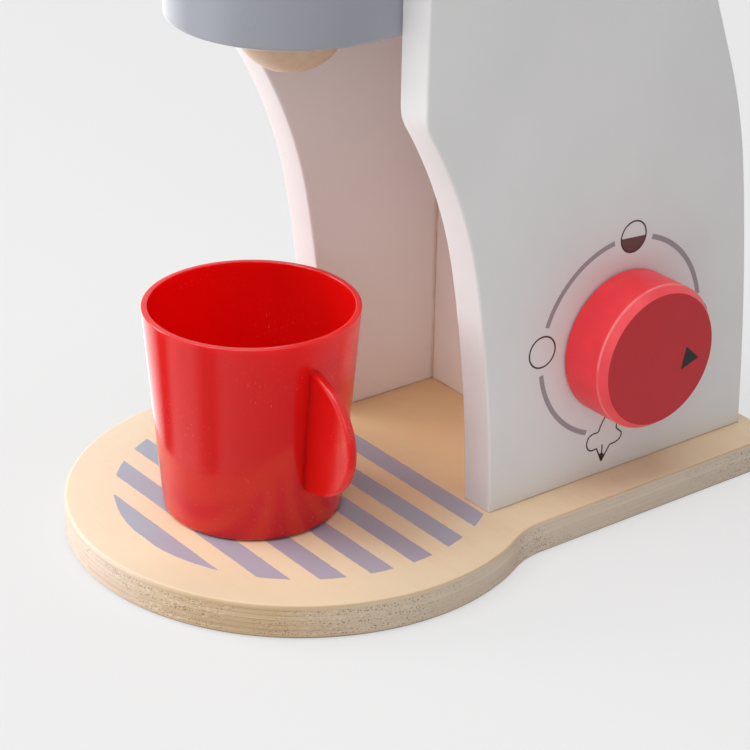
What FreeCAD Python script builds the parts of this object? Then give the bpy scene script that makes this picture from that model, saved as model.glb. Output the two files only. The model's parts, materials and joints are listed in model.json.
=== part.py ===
import FreeCAD, Part
import math
import os
import re
import Sketcher

# Toy coffee maker of plywood and painted board, with a turning knob, a hinged lid and a plastic mug.
# Millimetres. The origin is under the centre of the base's round front, on the ground.
# The front faces -Y, the knob is on the +X side, and +Z is up.

DOC = FreeCAD.newDocument("toy_coffee_maker")
SHEET = DOC.addObject("Spreadsheet::Sheet", "Sizes")

SIZES = {
    # base board: a round front, a narrower strip behind it and a hollow arc where they meet
    "base_radius": 65, "base_thick": 9.8, "strip_half": 55, "base_rear": 131,
    "waist_radius": 25, "rear_corner": 8, "base_round": 1.1,
    # side panels: two arcs and a nook in front, two arcs and a slope behind, a flat top
    "gap_half": 32, "panel_thick": 11, "panel_round": 1.3, "panel_top": 205,
    "front_foot": 31.9, "front_centre": 2.6, "front_low_radius": 421, "front_joint": 79,
    "front_high_radius": 130, "nook_radius": 12, "front_edge": 6.65, "top_front_radius": 12,
    "rear_foot": 126.4, "rear_centre": -8, "rear_low_radius": 708, "rear_joint": 89.6,
    "rear_high_radius": 162, "rear_lean": 20.5, "top_rear_radius": 28,
    # back wall of the cup bay, and the bent cover behind it
    "wall_front": 71.6, "wall_thick": 11, "wall_top": 170,
    "cover_inset": 3, "cover_thick": 5, "cover_front": 57.5,
    # brew head between the panels, with a round well for a pod
    "head_centre": -4, "head_low": 146.9, "head_top": 190, "head_round": 1,
    "well_radius": 19, "well_deep": 27,
    # turned nozzle under the head: part of a ball with a flat end
    "nozzle_radius": 16, "nozzle_low": 132.7, "nozzle_round": 0.7,
    # lid and its hinge
    "lid_gap": 0.3, "lid_thick": 13, "lid_half": 31.5, "lid_round": 1.5, "hinge_place": 50,
    "pin_radius": 2.5, "pin_play": 0.06, "blind_deep": 8.5,
    # turned ball on the lid, with a flat foot
    "grip_place": -19, "grip_radius": 11, "grip_foot": 6.5, "grip_bore_deep": 11,
    # side knob on its sleeve, screw, washer and felt ring
    "knob_place": 76.8, "knob_height": 49.9, "knob_radius": 20.5, "knob_face_radius": 18.7,
    "knob_from": 0.4, "knob_reach": 16.4, "knob_bevel": 2.45, "knob_round": 0.6, "knob_bore_deep": 11.1,
    "knob_hollow": 14, "knob_hollow_deep": 1.1, "felt_thick": 1.2, "felt_radius": 13, "felt_play": 0.5,
    "sleeve_radius": 4, "sleeve_play": 0.08, "sink_radius": 7, "sink_deep": 5,
    "washer_radius": 6.5, "washer_thick": 1, "washer_gap": 0.2,
    "pan_radius": 3.8, "pan_tall": 2.2, "pan_tip": 2, "knob_screw_long": 18,
    # dowels and countersunk screws
    "dowel_radius": 3, "dowel_long": 20, "spigot_radius": 4, "spigot_long": 22,
    "screw_radius": 1.95, "screw_play": 0.05, "screw_head": 4, "screw_cone": 2.3, "screw_sunk": 0.3,
    "screw_tip": 4, "screw_point": 0.4, "base_screw_long": 30, "grip_screw_long": 22,
    "cross_wide": 0.9, "cross_half": 2.1, "cross_deep": 1.3,
    "panel_screw_front": 52, "panel_screw_rear": 112, "wall_screw": 14,
    "wall_dowel_low": 26, "wall_dowel_high": 128, "head_dowel_front": 26, "head_dowel_rear": 60,
    "head_dowel_height": 168,
    # mug with a closed, leaf-like handle on its +X side
    "mug_side": -1.4, "mug_place": -15.6, "mug_gap": 0.2, "mug_foot": 24.35, "mug_rim": 29.05,
    "mug_tall": 58.4, "mug_wall": 1.6, "mug_floor": 2.6, "mug_ring": 3.5, "mug_hollow": 0.8,
    "rim_round": 0.7, "foot_round": 1.4, "handle_thick": 2.8, "handle_round": 0.9,
    "handle_top": 49.7, "handle_root_top": 27.6, "handle_low": 14, "handle_root_low": 24.8,
    "handle_high_joint": 44.2, "handle_low_joint": 15.6,
    "handle_high_radius": 21, "handle_nose_radius": 17, "handle_low_radius": 31,
    # how far a cutting tool stands out of what it cuts
    "spare": 1,
}
for row, (alias, number) in enumerate(SIZES.items(), start=1):
    SHEET.set(f"A{row}", alias)
    SHEET.set(f"B{row}", str(number))
    SHEET.setAlias(f"B{row}", alias)
DOC.recompute()

# places that several pieces share, as rules on the sheet; starting slopes of the handle in degrees
HINGE_HEIGHT = "head_top + lid_gap + lid_thick / 2"
WALL_MIDDLE = "wall_front + wall_thick / 2"
LID_LOW = "head_top + lid_gap"
GRIP_SCREW_LOW = "head_top + lid_gap + screw_sunk"
LID_TOP = "head_top + lid_gap + lid_thick"
PANEL_MIDDLE = "gap_half + panel_thick / 2"
WALL_DOWELS = [(WALL_MIDDLE, "wall_dowel_low"), (WALL_MIDDLE, "wall_dowel_high")]
HEAD_DOWELS = [("head_dowel_front", "head_dowel_height"), ("head_dowel_rear", "head_dowel_height")]
RIGHT_DOWEL = "gap_half + blind_deep - dowel_long"
PANEL_SCREWS = ["panel_screw_front", "panel_screw_rear"]
KNOB_AXIS = ("knob_place", "knob_height")
SIDES = {"right": 1, "left": -1}
HANDLE_LEANS = [5, 43, 161, 178]
NODES = []


def val(alias):
    """The number in the sheet's cell of this alias."""
    return float(SHEET.get(alias))


def cells(text):
    """Put the sheet's name before each alias in a rule such as 'head_top - head_low'."""
    return re.sub(r"[a-z_]+", lambda word: f"Sizes.{word[0]}" if word[0] in SIZES else word[0], str(text))


def bind(thing, **rules):
    """Bind properties of an object to rules on the sheet."""
    for prop, text in rules.items():
        thing.setExpression(prop.replace("__", "."), cells(text))


def place(thing, x="0", y="0", z="0"):
    """Bind an object's place to rules on the sheet."""
    bind(thing, Placement__Base__x=x, Placement__Base__y=y, Placement__Base__z=z)
    return thing


def turn_to(thing, axis):
    """Turn a bar that runs along +Z so that it runs along +X, if X is its axis."""
    if axis == "X":
        thing.Placement.Rotation = FreeCAD.Rotation(FreeCAD.Vector(0, 1, 0), 90)


def cylinder(name, radius, height, x="0", y="0", z="0", axis="Z"):
    """A round bar from its place along Z or X."""
    bar = DOC.addObject("Part::Cylinder", name)
    turn_to(bar, axis)
    bind(bar, Radius=radius, Height=height)
    return place(bar, x, y, z)


def cone(name, radius_near, radius_far, height, x="0", y="0", z="0", axis="Z"):
    """A round taper from its place along Z or X."""
    taper = DOC.addObject("Part::Cone", name)
    turn_to(taper, axis)
    bind(taper, Radius1=radius_near, Radius2=radius_far, Height=height)
    return place(taper, x, y, z)


def box(name, length, width, height, x="0", y="0", z="0"):
    """A block from its lowest corner."""
    block = DOC.addObject("Part::Box", name)
    bind(block, Length=length, Width=width, Height=height)
    return place(block, x, y, z)


def fuse(name, pieces):
    """One shape of several that overlap."""
    joined = DOC.addObject("Part::MultiFuse", name)
    joined.Shapes = pieces
    return joined


def cut(name, base, tools):
    """A base with tools taken away."""
    rest = DOC.addObject("Part::Cut", name)
    rest.Base = base
    rest.Tool = fuse(name + "_tools", tools) if len(tools) > 1 else tools[0]
    return rest


def group(name, pieces):
    """Separate solids kept in one node."""
    kept = DOC.addObject("Part::Compound", name)
    kept.Links = pieces
    return kept


def keep(thing, label):
    """Name a finished piece and list it for export."""
    thing.Label = label
    NODES.append(thing)


def new_body(name, x="0", y="0", z="0"):
    """A body at its place."""
    return place(DOC.addObject("PartDesign::Body", name), x, y, z)


def new_sketch(body, name, plane, lift=None):
    """A sketch on one of the body's own planes, or lifted off it by a rule."""
    sketch = body.newObject("Sketcher::SketchObject", name)
    flat = next(f for f in body.Origin.OriginFeatures if f.Role == plane)
    sketch.AttachmentSupport = [(flat, "")]
    sketch.MapMode = "FlatFace"
    if lift:
        bind(sketch, AttachmentOffset__Base__z=lift)
    return sketch


def point(x, y):
    """A point of a sketch."""
    return FreeCAD.Vector(x, y, 0)


def segment(sketch, start, end):
    """Add a straight stretch and give its number."""
    return sketch.addGeometry(Part.LineSegment(point(*start), point(*end)), False)


def arc(sketch, centre, radius, start, end):
    """Add an arc, counterclockwise between two angles in degrees, and give its number."""
    circle = Part.Circle(point(*centre), FreeCAD.Vector(0, 0, 1), radius)
    return sketch.addGeometry(Part.ArcOfCircle(circle, math.radians(start), math.radians(end)), False)


def tie(sketch, kind, *geometry):
    """Add a constraint that holds no number."""
    sketch.addConstraint(Sketcher.Constraint(kind, *geometry))


def fix(sketch, kind, *geometry, start, to):
    """Add a dimension with its starting number and bind it to a rule on the sheet."""
    number = sketch.addConstraint(Sketcher.Constraint(kind, *geometry, start))
    sketch.setExpression(f"Constraints[{number}]", cells(to))


def hold(sketch, geometry, end, across=None, up=None):
    """Hold one point at rules for its two coordinates. A rule of 0 puts it on the axis."""
    for kind, text, axis in (("DistanceX", across, -2), ("DistanceY", up, -1)):
        if text == "0":
            tie(sketch, "PointOnObject", geometry, end, axis)
        elif text is not None:
            spot = sketch.getPoint(geometry, end)
            now = spot.x if kind == "DistanceX" else spot.y
            fix(sketch, kind, -1, 1, geometry, end, start=now, to=text)


def polyline(sketch, corners, closed=True):
    """Straight stretches through corners, each joined to the next."""
    pairs = list(zip(corners, corners[1:] + corners[:1]))
    sides = [segment(sketch, start, end) for start, end in (pairs if closed else pairs[:-1])]
    for first, second in zip(sides, sides[1:] + sides[:1] if closed else sides[1:]):
        tie(sketch, "Coincident", first, 2, second, 1)
    return sides


def pad(body, sketch, name, length, middle=False):
    """Raise a sketch along its normal, or half to each side of it."""
    raised = body.newObject("PartDesign::Pad", name)
    raised.Profile = sketch
    raised.Midplane = middle
    bind(raised, Length=length)
    DOC.recompute()
    return raised


def spin(body, sketch, name, axis):
    """Turn a sketch right round one of its own axes."""
    turned = body.newObject("PartDesign::Revolution", name)
    turned.Profile = sketch
    turned.ReferenceAxis = (sketch, [axis])
    turned.Angle = 360
    DOC.recompute()
    return turned


def soften(body, feature, name, radius, chosen):
    """Round the edges of a feature that a test chooses."""
    edges = [f"Edge{i}" for i, edge in enumerate(feature.Shape.Edges, start=1) if chosen(edge)]
    rounded = body.newObject("PartDesign::Fillet", name)
    rounded.Base = (feature, edges)
    bind(rounded, Radius=radius)
    DOC.recompute()
    return rounded


def level(edge, axis, number):
    """Whether an edge lies flat at one coordinate."""
    low = getattr(edge.BoundBox, axis + "Min")
    high = getattr(edge.BoundBox, axis + "Max")
    return abs(low - number) < 1e-3 and abs(high - number) < 1e-3


def cross(name, x, y, z, axis="Z"):
    """The cross recess of a screw head, cut into it from below or, with X, from its -X side."""
    arms = []
    for i, (wide, tall) in enumerate((("cross_half", "cross_wide / 2"), ("cross_wide / 2", "cross_half"))):
        if axis == "Z":
            arms.append(box(f"{name}_{i}", f"2 * {wide}", f"2 * {tall}", "cross_deep",
                            f"{x} - {wide}", f"{y} - {tall}", z))
        else:
            arms.append(box(f"{name}_{i}", "cross_deep", f"2 * {wide}", f"2 * {tall}",
                            x, f"{y} - {wide}", f"{z} - {tall}"))
    return arms


def countersunk(name, x, y, z, long):
    """A wood screw that points up from a flush head, with a cross recess and a pointed end."""
    solid = fuse(name + "_solid", [
        cone(name + "_head", "screw_head", "screw_radius", "screw_cone", x, y, z),
        cylinder(name + "_shank", "screw_radius", f"{long} - screw_tip", x, y, z),
        cone(name + "_tip", "screw_radius", "screw_point", "screw_tip", x, y, f"{z} + {long} - screw_tip"),
    ])
    return cut(name, solid, cross(name + "_cross", x, y, z))


def sunk_hole(name, x, y, z, long):
    """The hole that a countersunk screw passes or bites into, from its head's side up."""
    wide = "screw_radius + screw_play"
    mouth = "screw_head + screw_play"
    return [
        cylinder(name, wide, f"{long} + spare", x, y, f"{z} - spare"),
        cylinder(name + "_mouth", mouth, "spare", x, y, f"{z} - spare"),
        cone(name + "_sink", mouth, wide, "screw_cone", x, y, z),
    ]


def base_screw_places():
    """Where the screws come up through the base: two for each panel, two for the back wall."""
    places = []
    for name, sign in SIDES.items():
        for y in PANEL_SCREWS:
            places.append((name, f"{sign} * ( {PANEL_MIDDLE} )", y))
        places.append(("wall", f"{sign} * wall_screw", WALL_MIDDLE))
    return places


def base_board():
    """The plywood board: disc, waist arcs and strip, with sunk holes from below."""
    disc, half, rear = val("base_radius"), val("strip_half"), val("base_rear")
    waist, corner = val("waist_radius"), val("rear_corner")
    waist_y = math.sqrt((disc + waist) ** 2 - (half + waist) ** 2)
    turn = math.degrees(math.atan2(waist_y, half + waist))
    body = new_body("base_blank")
    sketch = new_sketch(body, "base_outline", "XY_Plane")
    front = arc(sketch, (0, 0), disc, 180 - turn, 360 + turn)
    waist_right = arc(sketch, (half + waist, waist_y), waist, 180, 180 + turn)
    side_right = segment(sketch, (half, waist_y), (half, rear - corner))
    corner_right = arc(sketch, (half - corner, rear - corner), corner, 0, 90)
    back = segment(sketch, (half - corner, rear), (corner - half, rear))
    corner_left = arc(sketch, (corner - half, rear - corner), corner, 90, 180)
    side_left = segment(sketch, (-half, rear - corner), (-half, waist_y))
    waist_left = arc(sketch, (-half - waist, waist_y), waist, -turn, 0)
    joints = [
        (front, 2, waist_right, 2), (waist_right, 1, side_right, 1), (side_right, 2, corner_right, 1),
        (corner_right, 2, back, 1), (back, 2, corner_left, 1), (corner_left, 2, side_left, 1),
        (side_left, 2, waist_left, 2), (waist_left, 1, front, 1),
    ]
    for joint in joints:
        tie(sketch, "Tangent", *joint)
    tie(sketch, "Coincident", front, 3, -1, 1)
    for side in (side_right, side_left):
        tie(sketch, "Vertical", side)
    tie(sketch, "Horizontal", back)
    bends = {front: "base_radius", waist_right: "waist_radius", waist_left: "waist_radius",
             corner_right: "rear_corner", corner_left: "rear_corner"}
    for bend, alias in bends.items():
        fix(sketch, "Radius", bend, start=val(alias), to=alias)
    hold(sketch, side_right, 1, across="strip_half")
    hold(sketch, side_left, 1, across="0 - strip_half")
    hold(sketch, back, 1, up="base_rear")
    board = pad(body, sketch, "board", "base_thick")
    thick = val("base_thick")
    soften(body, board, "board_round", "base_round", lambda e: level(e, "Z", 0) or level(e, "Z", thick))
    holes = []
    screws = []
    for i, (_, x, y) in enumerate(base_screw_places()):
        holes += sunk_hole(f"base_hole_{i}", x, y, "screw_sunk", "base_screw_long")
        screws.append(countersunk(f"base_screw_{i}", x, y, "screw_sunk", "base_screw_long"))
    keep(cut("base_cut", body, holes), "base_board")
    keep(group("base_screw_group", screws), "base_screws")


def base_pilots(carrier):
    """Holes for the base screws in a side panel or in the back wall."""
    wide, long = "screw_radius + screw_play", "base_screw_long - base_thick + 2 * spare"
    return [cylinder(f"pilot_{carrier}_{i}", wide, long, x, y, "base_thick - spare")
            for i, (name, x, y) in enumerate(base_screw_places()) if name == carrier]


def two_arcs(foot, centre, low_radius, joint, high_radius):
    """Two tangent arcs that lean forward as they rise: each centre, and the leans at foot and joint."""
    foot_lean = math.asin((val("base_thick") - centre) / low_radius)
    joint_lean = math.asin((joint - centre) / low_radius)
    low = (foot - low_radius * math.cos(foot_lean), centre)
    step = low_radius - high_radius
    high = (low[0] + step * math.cos(joint_lean), low[1] + step * math.sin(joint_lean))
    return low, high, foot_lean, joint_lean


def rear_line(inset):
    """The rear outline moved inwards: three arcs, each a centre, a radius and two leans in degrees."""
    low_radius, high_radius = val("rear_low_radius"), val("rear_high_radius")
    lean, top_radius = math.radians(val("rear_lean")), val("top_rear_radius")
    low, high, _, joint_lean = two_arcs(val("rear_foot"), val("rear_centre"), low_radius,
                                        val("rear_joint"), high_radius)
    top_z = val("panel_top") - top_radius
    slope = (top_z - high[1] - (high_radius - top_radius) * math.sin(lean)) / math.cos(lean)
    top_y = high[0] + (high_radius - top_radius) * math.cos(lean) - slope * math.sin(lean)
    foot_lean = math.asin((val("base_thick") - low[1]) / (low_radius - inset))
    degrees = [math.degrees(turn) for turn in (foot_lean, joint_lean, lean)]
    return [
        (low, low_radius - inset, degrees[0], degrees[1]),
        (high, high_radius - inset, degrees[1], degrees[2]),
        ((top_y, top_z), top_radius - inset, degrees[2], 90),
    ]


def on_arc(link, end):
    """The point of an arc at the first or the second of its leans."""
    centre, radius = link[0], link[1]
    turn = math.radians(link[2 + end])
    return (centre[0] + radius * math.cos(turn), centre[1] + radius * math.sin(turn))


def add_rear(sketch, inset_rule, inset):
    """Draw the rear outline in a sketch and hold it; gives its low arc and its top arc."""
    low_link, high_link, top_link = rear_line(inset)
    low = arc(sketch, *low_link)
    high = arc(sketch, *high_link)
    slope = segment(sketch, on_arc(high_link, 1), on_arc(top_link, 0))
    top = arc(sketch, *top_link)
    for joint in ((low, 2, high, 1), (high, 2, slope, 1), (slope, 2, top, 1)):
        tie(sketch, "Tangent", *joint)
    for bend, link, alias in ((low, low_link, "rear_low_radius"), (high, high_link, "rear_high_radius"),
                              (top, top_link, "top_rear_radius")):
        fix(sketch, "Radius", bend, start=link[1], to=f"{alias} - {inset_rule}")
    fix(sketch, "Angle", slope, start=math.radians(90 + val("rear_lean")), to="90 + rear_lean")
    hold(sketch, low, 1, up="base_thick")
    hold(sketch, low, 3, up="rear_centre")
    return low, top


def panel_outline(sketch):
    """The side panel's outline, held by its radii, its joints' heights and its straight edges."""
    floor, top, edge = val("base_thick"), val("panel_top"), val("front_edge")
    high_radius, nook, corner = val("front_high_radius"), val("nook_radius"), val("top_front_radius")
    low_radius = val("front_low_radius")
    low, high, foot_lean, joint_lean = two_arcs(val("front_foot"), val("front_centre"), low_radius,
                                                val("front_joint"), high_radius)
    nook_lean = math.acos((edge + nook - high[0]) / (high_radius + nook))
    nook_centre = (edge + nook, high[1] + (high_radius + nook) * math.sin(nook_lean))
    leans = [math.degrees(turn) for turn in (foot_lean, joint_lean, nook_lean)]
    rear_low, rear_top = add_rear(sketch, "0", 0)
    front_low = arc(sketch, low, low_radius, leans[0], leans[1])
    front_high = arc(sketch, high, high_radius, leans[1], leans[2])
    nook_arc = arc(sketch, nook_centre, nook, 180, 180 + leans[2])
    front = segment(sketch, (edge, nook_centre[1]), (edge, top - corner))
    corner_arc = arc(sketch, (edge + corner, top - corner), corner, 90, 180)
    lid_edge = segment(sketch, (edge + corner, top), on_arc(rear_line(0)[2], 1))
    foot = segment(sketch, on_arc(rear_line(0)[0], 0), (val("front_foot"), floor))
    joints = [
        (front_low, 2, front_high, 1), (front_high, 2, nook_arc, 2), (nook_arc, 1, front, 1),
        (front, 2, corner_arc, 2), (corner_arc, 1, lid_edge, 1), (lid_edge, 2, rear_top, 2),
    ]
    for joint in joints:
        tie(sketch, "Tangent", *joint)
    tie(sketch, "Coincident", rear_low, 1, foot, 1)
    tie(sketch, "Coincident", foot, 2, front_low, 1)
    tie(sketch, "Vertical", front)
    tie(sketch, "Horizontal", lid_edge)
    tie(sketch, "Horizontal", foot)
    radii = {front_low: "front_low_radius", front_high: "front_high_radius", nook_arc: "nook_radius",
             corner_arc: "top_front_radius"}
    for bend, alias in radii.items():
        fix(sketch, "Radius", bend, start=val(alias), to=alias)
    hold(sketch, front_low, 3, up="front_centre")
    hold(sketch, front_low, 2, up="front_joint")
    hold(sketch, front_low, 1, across="front_foot")
    hold(sketch, lid_edge, 1, up="panel_top")
    hold(sketch, front, 1, across="front_edge")
    hold(sketch, rear_low, 1, across="rear_foot")
    hold(sketch, rear_low, 2, up="rear_joint")


def side_panel(side):
    """A board bored inside for dowels, hinge pin and screws, and the right one for the knob."""
    sign = SIDES[side]
    body = new_body(f"panel_{side}_blank", x="gap_half" if sign > 0 else "0 - gap_half - panel_thick")
    sketch = new_sketch(body, f"panel_{side}_outline", "YZ_Plane")
    panel_outline(sketch)
    board = pad(body, sketch, f"panel_{side}_board", "panel_thick")
    floor, thick = val("base_thick"), val("panel_thick")
    soften(body, board, f"panel_{side}_round", "panel_round",
           lambda e: (level(e, "X", 0) or level(e, "X", thick)) and not level(e, "Z", floor))
    start = "gap_half - spare" if sign > 0 else "0 - gap_half - blind_deep"
    long = "blind_deep + spare"
    holes = [cylinder(f"pin_hole_{side}", "pin_radius", long, start, "hinge_place", HINGE_HEIGHT, "X")]
    for i, (y, z) in enumerate(WALL_DOWELS + HEAD_DOWELS):
        holes.append(cylinder(f"dowel_hole_{side}_{i}", "dowel_radius", long, start, y, z, "X"))
    holes += base_pilots(side)
    if side == "right":
        holes.append(cylinder("knob_hole", "sleeve_radius + sleeve_play", "panel_thick + 2 * spare",
                              start, *KNOB_AXIS, "X"))
        holes.append(cylinder("knob_sink", "sink_radius", "sink_deep + spare", start, *KNOB_AXIS, "X"))
    keep(cut(f"panel_{side}_cut", body, holes), f"side_panel_{side}")


def dowel_ends(name, spots):
    """Holes in the edges of a board between the panels, for dowels that reach into it from both."""
    holes = []
    for i, (y, z) in enumerate(spots):
        for side, start in (("right", RIGHT_DOWEL), ("left", "0 - gap_half - spare")):
            holes.append(cylinder(f"{name}_{side}_{i}", "dowel_radius", "dowel_long - blind_deep + spare",
                                  start, y, z, "X"))
    return holes


def dowels(name, spots):
    """Round dowels across each joint between a panel and a board."""
    pieces = []
    for i, (y, z) in enumerate(spots):
        for side, start in (("right", RIGHT_DOWEL), ("left", "0 - gap_half - blind_deep")):
            pieces.append(cylinder(f"{name}_{side}_{i}", "dowel_radius", "dowel_long", start, y, z, "X"))
    return group(name + "_group", pieces)


def back_wall():
    """The upright board behind the mug."""
    board = box("wall_board", "2 * gap_half", "wall_thick", "wall_top - base_thick",
                "0 - gap_half", "wall_front", "base_thick")
    keep(cut("wall_cut", board, dowel_ends("wall_hole", WALL_DOWELS) + base_pilots("wall")), "back_wall")
    keep(dowels("wall_dowel", WALL_DOWELS), "wall_dowels")


def rear_cover():
    """A bent board that follows the panels' rear outline a little inside it, from lid to base."""
    body = new_body("cover_blank")
    sketch = new_sketch(body, "cover_outline", "YZ_Plane")
    outer, inner = val("cover_inset"), val("cover_inset") + val("cover_thick")
    insets = {"cover_inset": outer, "(cover_inset + cover_thick)": inner}
    front = val("cover_front")
    lines = []
    for inset_rule, inset in insets.items():
        low, top = add_rear(sketch, inset_rule, inset)
        top_link = rear_line(inset)[2]
        lip = segment(sketch, on_arc(top_link, 1), (front, on_arc(top_link, 1)[1]))
        tie(sketch, "Tangent", top, 2, lip, 1)
        tie(sketch, "Horizontal", lip)
        lines.append((low, top, lip))
    (low_out, top_out, lip_out), (low_in, top_in, lip_in) = lines
    ends = [on_arc(rear_line(inset)[2], 1)[1] for inset in insets.values()]
    feet = [on_arc(rear_line(inset)[0], 0) for inset in insets.values()]
    cap = segment(sketch, (front, ends[0]), (front, ends[1]))
    foot = segment(sketch, feet[1], feet[0])
    for joint in ((lip_out, 2, cap, 1), (cap, 2, lip_in, 2), (low_in, 1, foot, 1), (foot, 2, low_out, 1)):
        tie(sketch, "Coincident", *joint)
    tie(sketch, "Vertical", cap)
    hold(sketch, cap, 1, across="cover_front")
    hold(sketch, low_out, 3, across=low_centre_rule())
    hold(sketch, low_in, 3, across=low_centre_rule())
    hold(sketch, low_out, 2, up=inset_joint_rule("cover_inset"))
    hold(sketch, top_out, 3, up="panel_top - top_rear_radius")
    tie(sketch, "Coincident", top_in, 3, top_out, 3)
    pad(body, sketch, "cover_board", "2 * gap_half", middle=True)
    keep(body, "rear_cover")


def low_centre_rule():
    """How far back the rear outline's low arc has its centre: foot less the arc's reach there."""
    return "rear_foot - sqrt(rear_low_radius ^ 2 - (base_thick - rear_centre) ^ 2)"


def inset_joint_rule(inset):
    """How high the rear outline's two arcs meet when it is moved inwards."""
    return f"rear_centre + (rear_joint - rear_centre) * (1 - {inset} / rear_low_radius)"


def u_plan(sketch, half, centre, rear):
    """A plan with a half-round front and straight sides, from the aliases of its three sizes."""
    wide, mid, end = val(half), val(centre), val(rear)
    nose = arc(sketch, (0, mid), wide, 180, 360)
    right = segment(sketch, (wide, mid), (wide, end))
    back = segment(sketch, (wide, end), (-wide, end))
    left = segment(sketch, (-wide, end), (-wide, mid))
    tie(sketch, "Tangent", nose, 2, right, 1)
    tie(sketch, "Tangent", left, 2, nose, 1)
    tie(sketch, "Coincident", right, 2, back, 1)
    tie(sketch, "Coincident", back, 2, left, 1)
    tie(sketch, "Horizontal", back)
    tie(sketch, "Vertical", right)
    tie(sketch, "Vertical", left)
    fix(sketch, "Radius", nose, start=wide, to=half)
    hold(sketch, nose, 3, across="0", up=centre)
    hold(sketch, back, 1, up=rear)


def brew_head():
    """The drum-fronted block between the panels, with its pod well and holes for dowels."""
    body = new_body("head_blank", z="head_low")
    sketch = new_sketch(body, "head_plan", "XY_Plane")
    u_plan(sketch, "gap_half", "head_centre", "wall_front")
    block = pad(body, sketch, "head_block", "head_top - head_low")
    tall = val("head_top") - val("head_low")
    front = val("head_centre") + 0.01
    rounded = soften(body, block, "head_edge", "head_round",
                     lambda e: (level(e, "Z", 0) or level(e, "Z", tall)) and e.BoundBox.YMax < front)
    circle = new_sketch(body, "well_circle", "XY_Plane", lift="head_top - head_low")
    round_well = Part.Circle(point(0, val("head_centre")), FreeCAD.Vector(0, 0, 1), val("well_radius"))
    ring = circle.addGeometry(round_well)
    hold(circle, ring, 3, across="0", up="head_centre")
    fix(circle, "Radius", ring, start=val("well_radius"), to="well_radius")
    well = body.newObject("PartDesign::Pocket", "pod_well")
    well.Profile = circle
    bind(well, Length="well_deep")
    DOC.recompute()
    print("the well takes", round(rounded.Shape.Volume - well.Shape.Volume),
          "of", round(math.pi * val("well_radius") ** 2 * val("well_deep")))
    holes = [cylinder("spigot_hole", "spigot_radius", "spigot_long / 2 + spare",
                      "0", "head_centre", "head_low - spare")]
    keep(cut("head_cut", body, holes + dowel_ends("head_hole", HEAD_DOWELS)), "brew_head")
    keep(dowels("head_dowel", HEAD_DOWELS), "head_dowels")


def nozzle():
    """A turned half ball with a flat end, bored for the spigot that holds it under the head."""
    body = new_body("nozzle_blank", y="head_centre", z="head_low")
    sketch = new_sketch(body, "nozzle_profile", "XZ_Plane")
    radius, low = val("nozzle_radius"), val("nozzle_low") - val("head_low")
    bore, deep = val("spigot_radius"), -val("spigot_long") / 2
    turn = math.degrees(math.asin(low / radius))
    bowl = arc(sketch, (0, 0), radius, turn, 0)
    end = (radius * math.cos(math.radians(turn)), low)
    sides = polyline(sketch, [(radius, 0), (bore, 0), (bore, deep), (0, deep), (0, low), end], closed=False)
    tie(sketch, "Coincident", bowl, 2, sides[0], 1)
    tie(sketch, "Coincident", sides[-1], 2, bowl, 1)
    tie(sketch, "Coincident", bowl, 3, -1, 1)
    fix(sketch, "Radius", bowl, start=radius, to="nozzle_radius")
    hold(sketch, sides[0], 1, up="0")
    hold(sketch, sides[1], 1, across="spigot_radius", up="0")
    hold(sketch, sides[2], 1, across="spigot_radius", up="0 - spigot_long / 2")
    hold(sketch, sides[3], 1, across="0", up="0 - spigot_long / 2")
    hold(sketch, sides[4], 1, across="0", up="nozzle_low - head_low")
    hold(sketch, sides[4], 2, up="nozzle_low - head_low")
    turned = spin(body, sketch, "nozzle_turned", "V_Axis")
    soften(body, turned, "nozzle_edge", "nozzle_round", lambda e: level(e, "Z", low))
    keep(body, "nozzle")
    spigot = cylinder("spigot", "spigot_radius", "spigot_long",
                      "0", "head_centre", "head_low - spigot_long / 2")
    keep(spigot, "nozzle_dowel")


def lid():
    """The slab over the head, with a round heel about its hinge pin."""
    body = new_body("lid_blank", z=LID_LOW)
    sketch = new_sketch(body, "lid_plan", "XY_Plane")
    u_plan(sketch, "lid_half", "head_centre", "hinge_place")
    pad(body, sketch, "lid_slab", "lid_thick")
    heel = body.newObject("PartDesign::AdditiveCylinder", "lid_heel")
    upright = next(f for f in body.Origin.OriginFeatures if f.Role == "YZ_Plane")
    heel.AttachmentSupport = [(upright, "")]
    heel.MapMode = "FlatFace"
    bind(heel, Radius="lid_thick / 2", Height="2 * lid_half", AttachmentOffset__Base__x="hinge_place",
         AttachmentOffset__Base__y="lid_thick / 2", AttachmentOffset__Base__z="0 - lid_half")
    DOC.recompute()
    half = val("lid_half")
    soften(body, heel, "lid_edge", "lid_round", lambda e: follows_lid(e, half))
    holes = [cylinder("lid_pin_hole", "pin_radius + pin_play", "2 * ( lid_half + spare )",
                      "0 - lid_half - spare", "hinge_place", HINGE_HEIGHT, "X")]
    holes += sunk_hole("grip_hole", "0", "grip_place", GRIP_SCREW_LOW, "lid_thick + spare")
    keep(cut("lid_cut", body, holes), "lid")
    pin = cylinder("pin", "pin_radius", "2 * ( gap_half + blind_deep )", "0 - gap_half - blind_deep",
                   "hinge_place", HINGE_HEIGHT, "X")
    keep(pin, "hinge_pin")


def follows_lid(edge, half):
    """Whether an edge runs round the lid's top, underside or heel, and not across it."""
    thick, rear = val("lid_thick"), val("hinge_place")
    flat = level(edge, "Z", 0) or level(edge, "Z", thick)
    across = level(edge, "Y", rear)
    heel_end = (level(edge, "X", half) or level(edge, "X", -half)) and edge.BoundBox.YMax > rear + 0.1
    return (flat and not across) or heel_end


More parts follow.
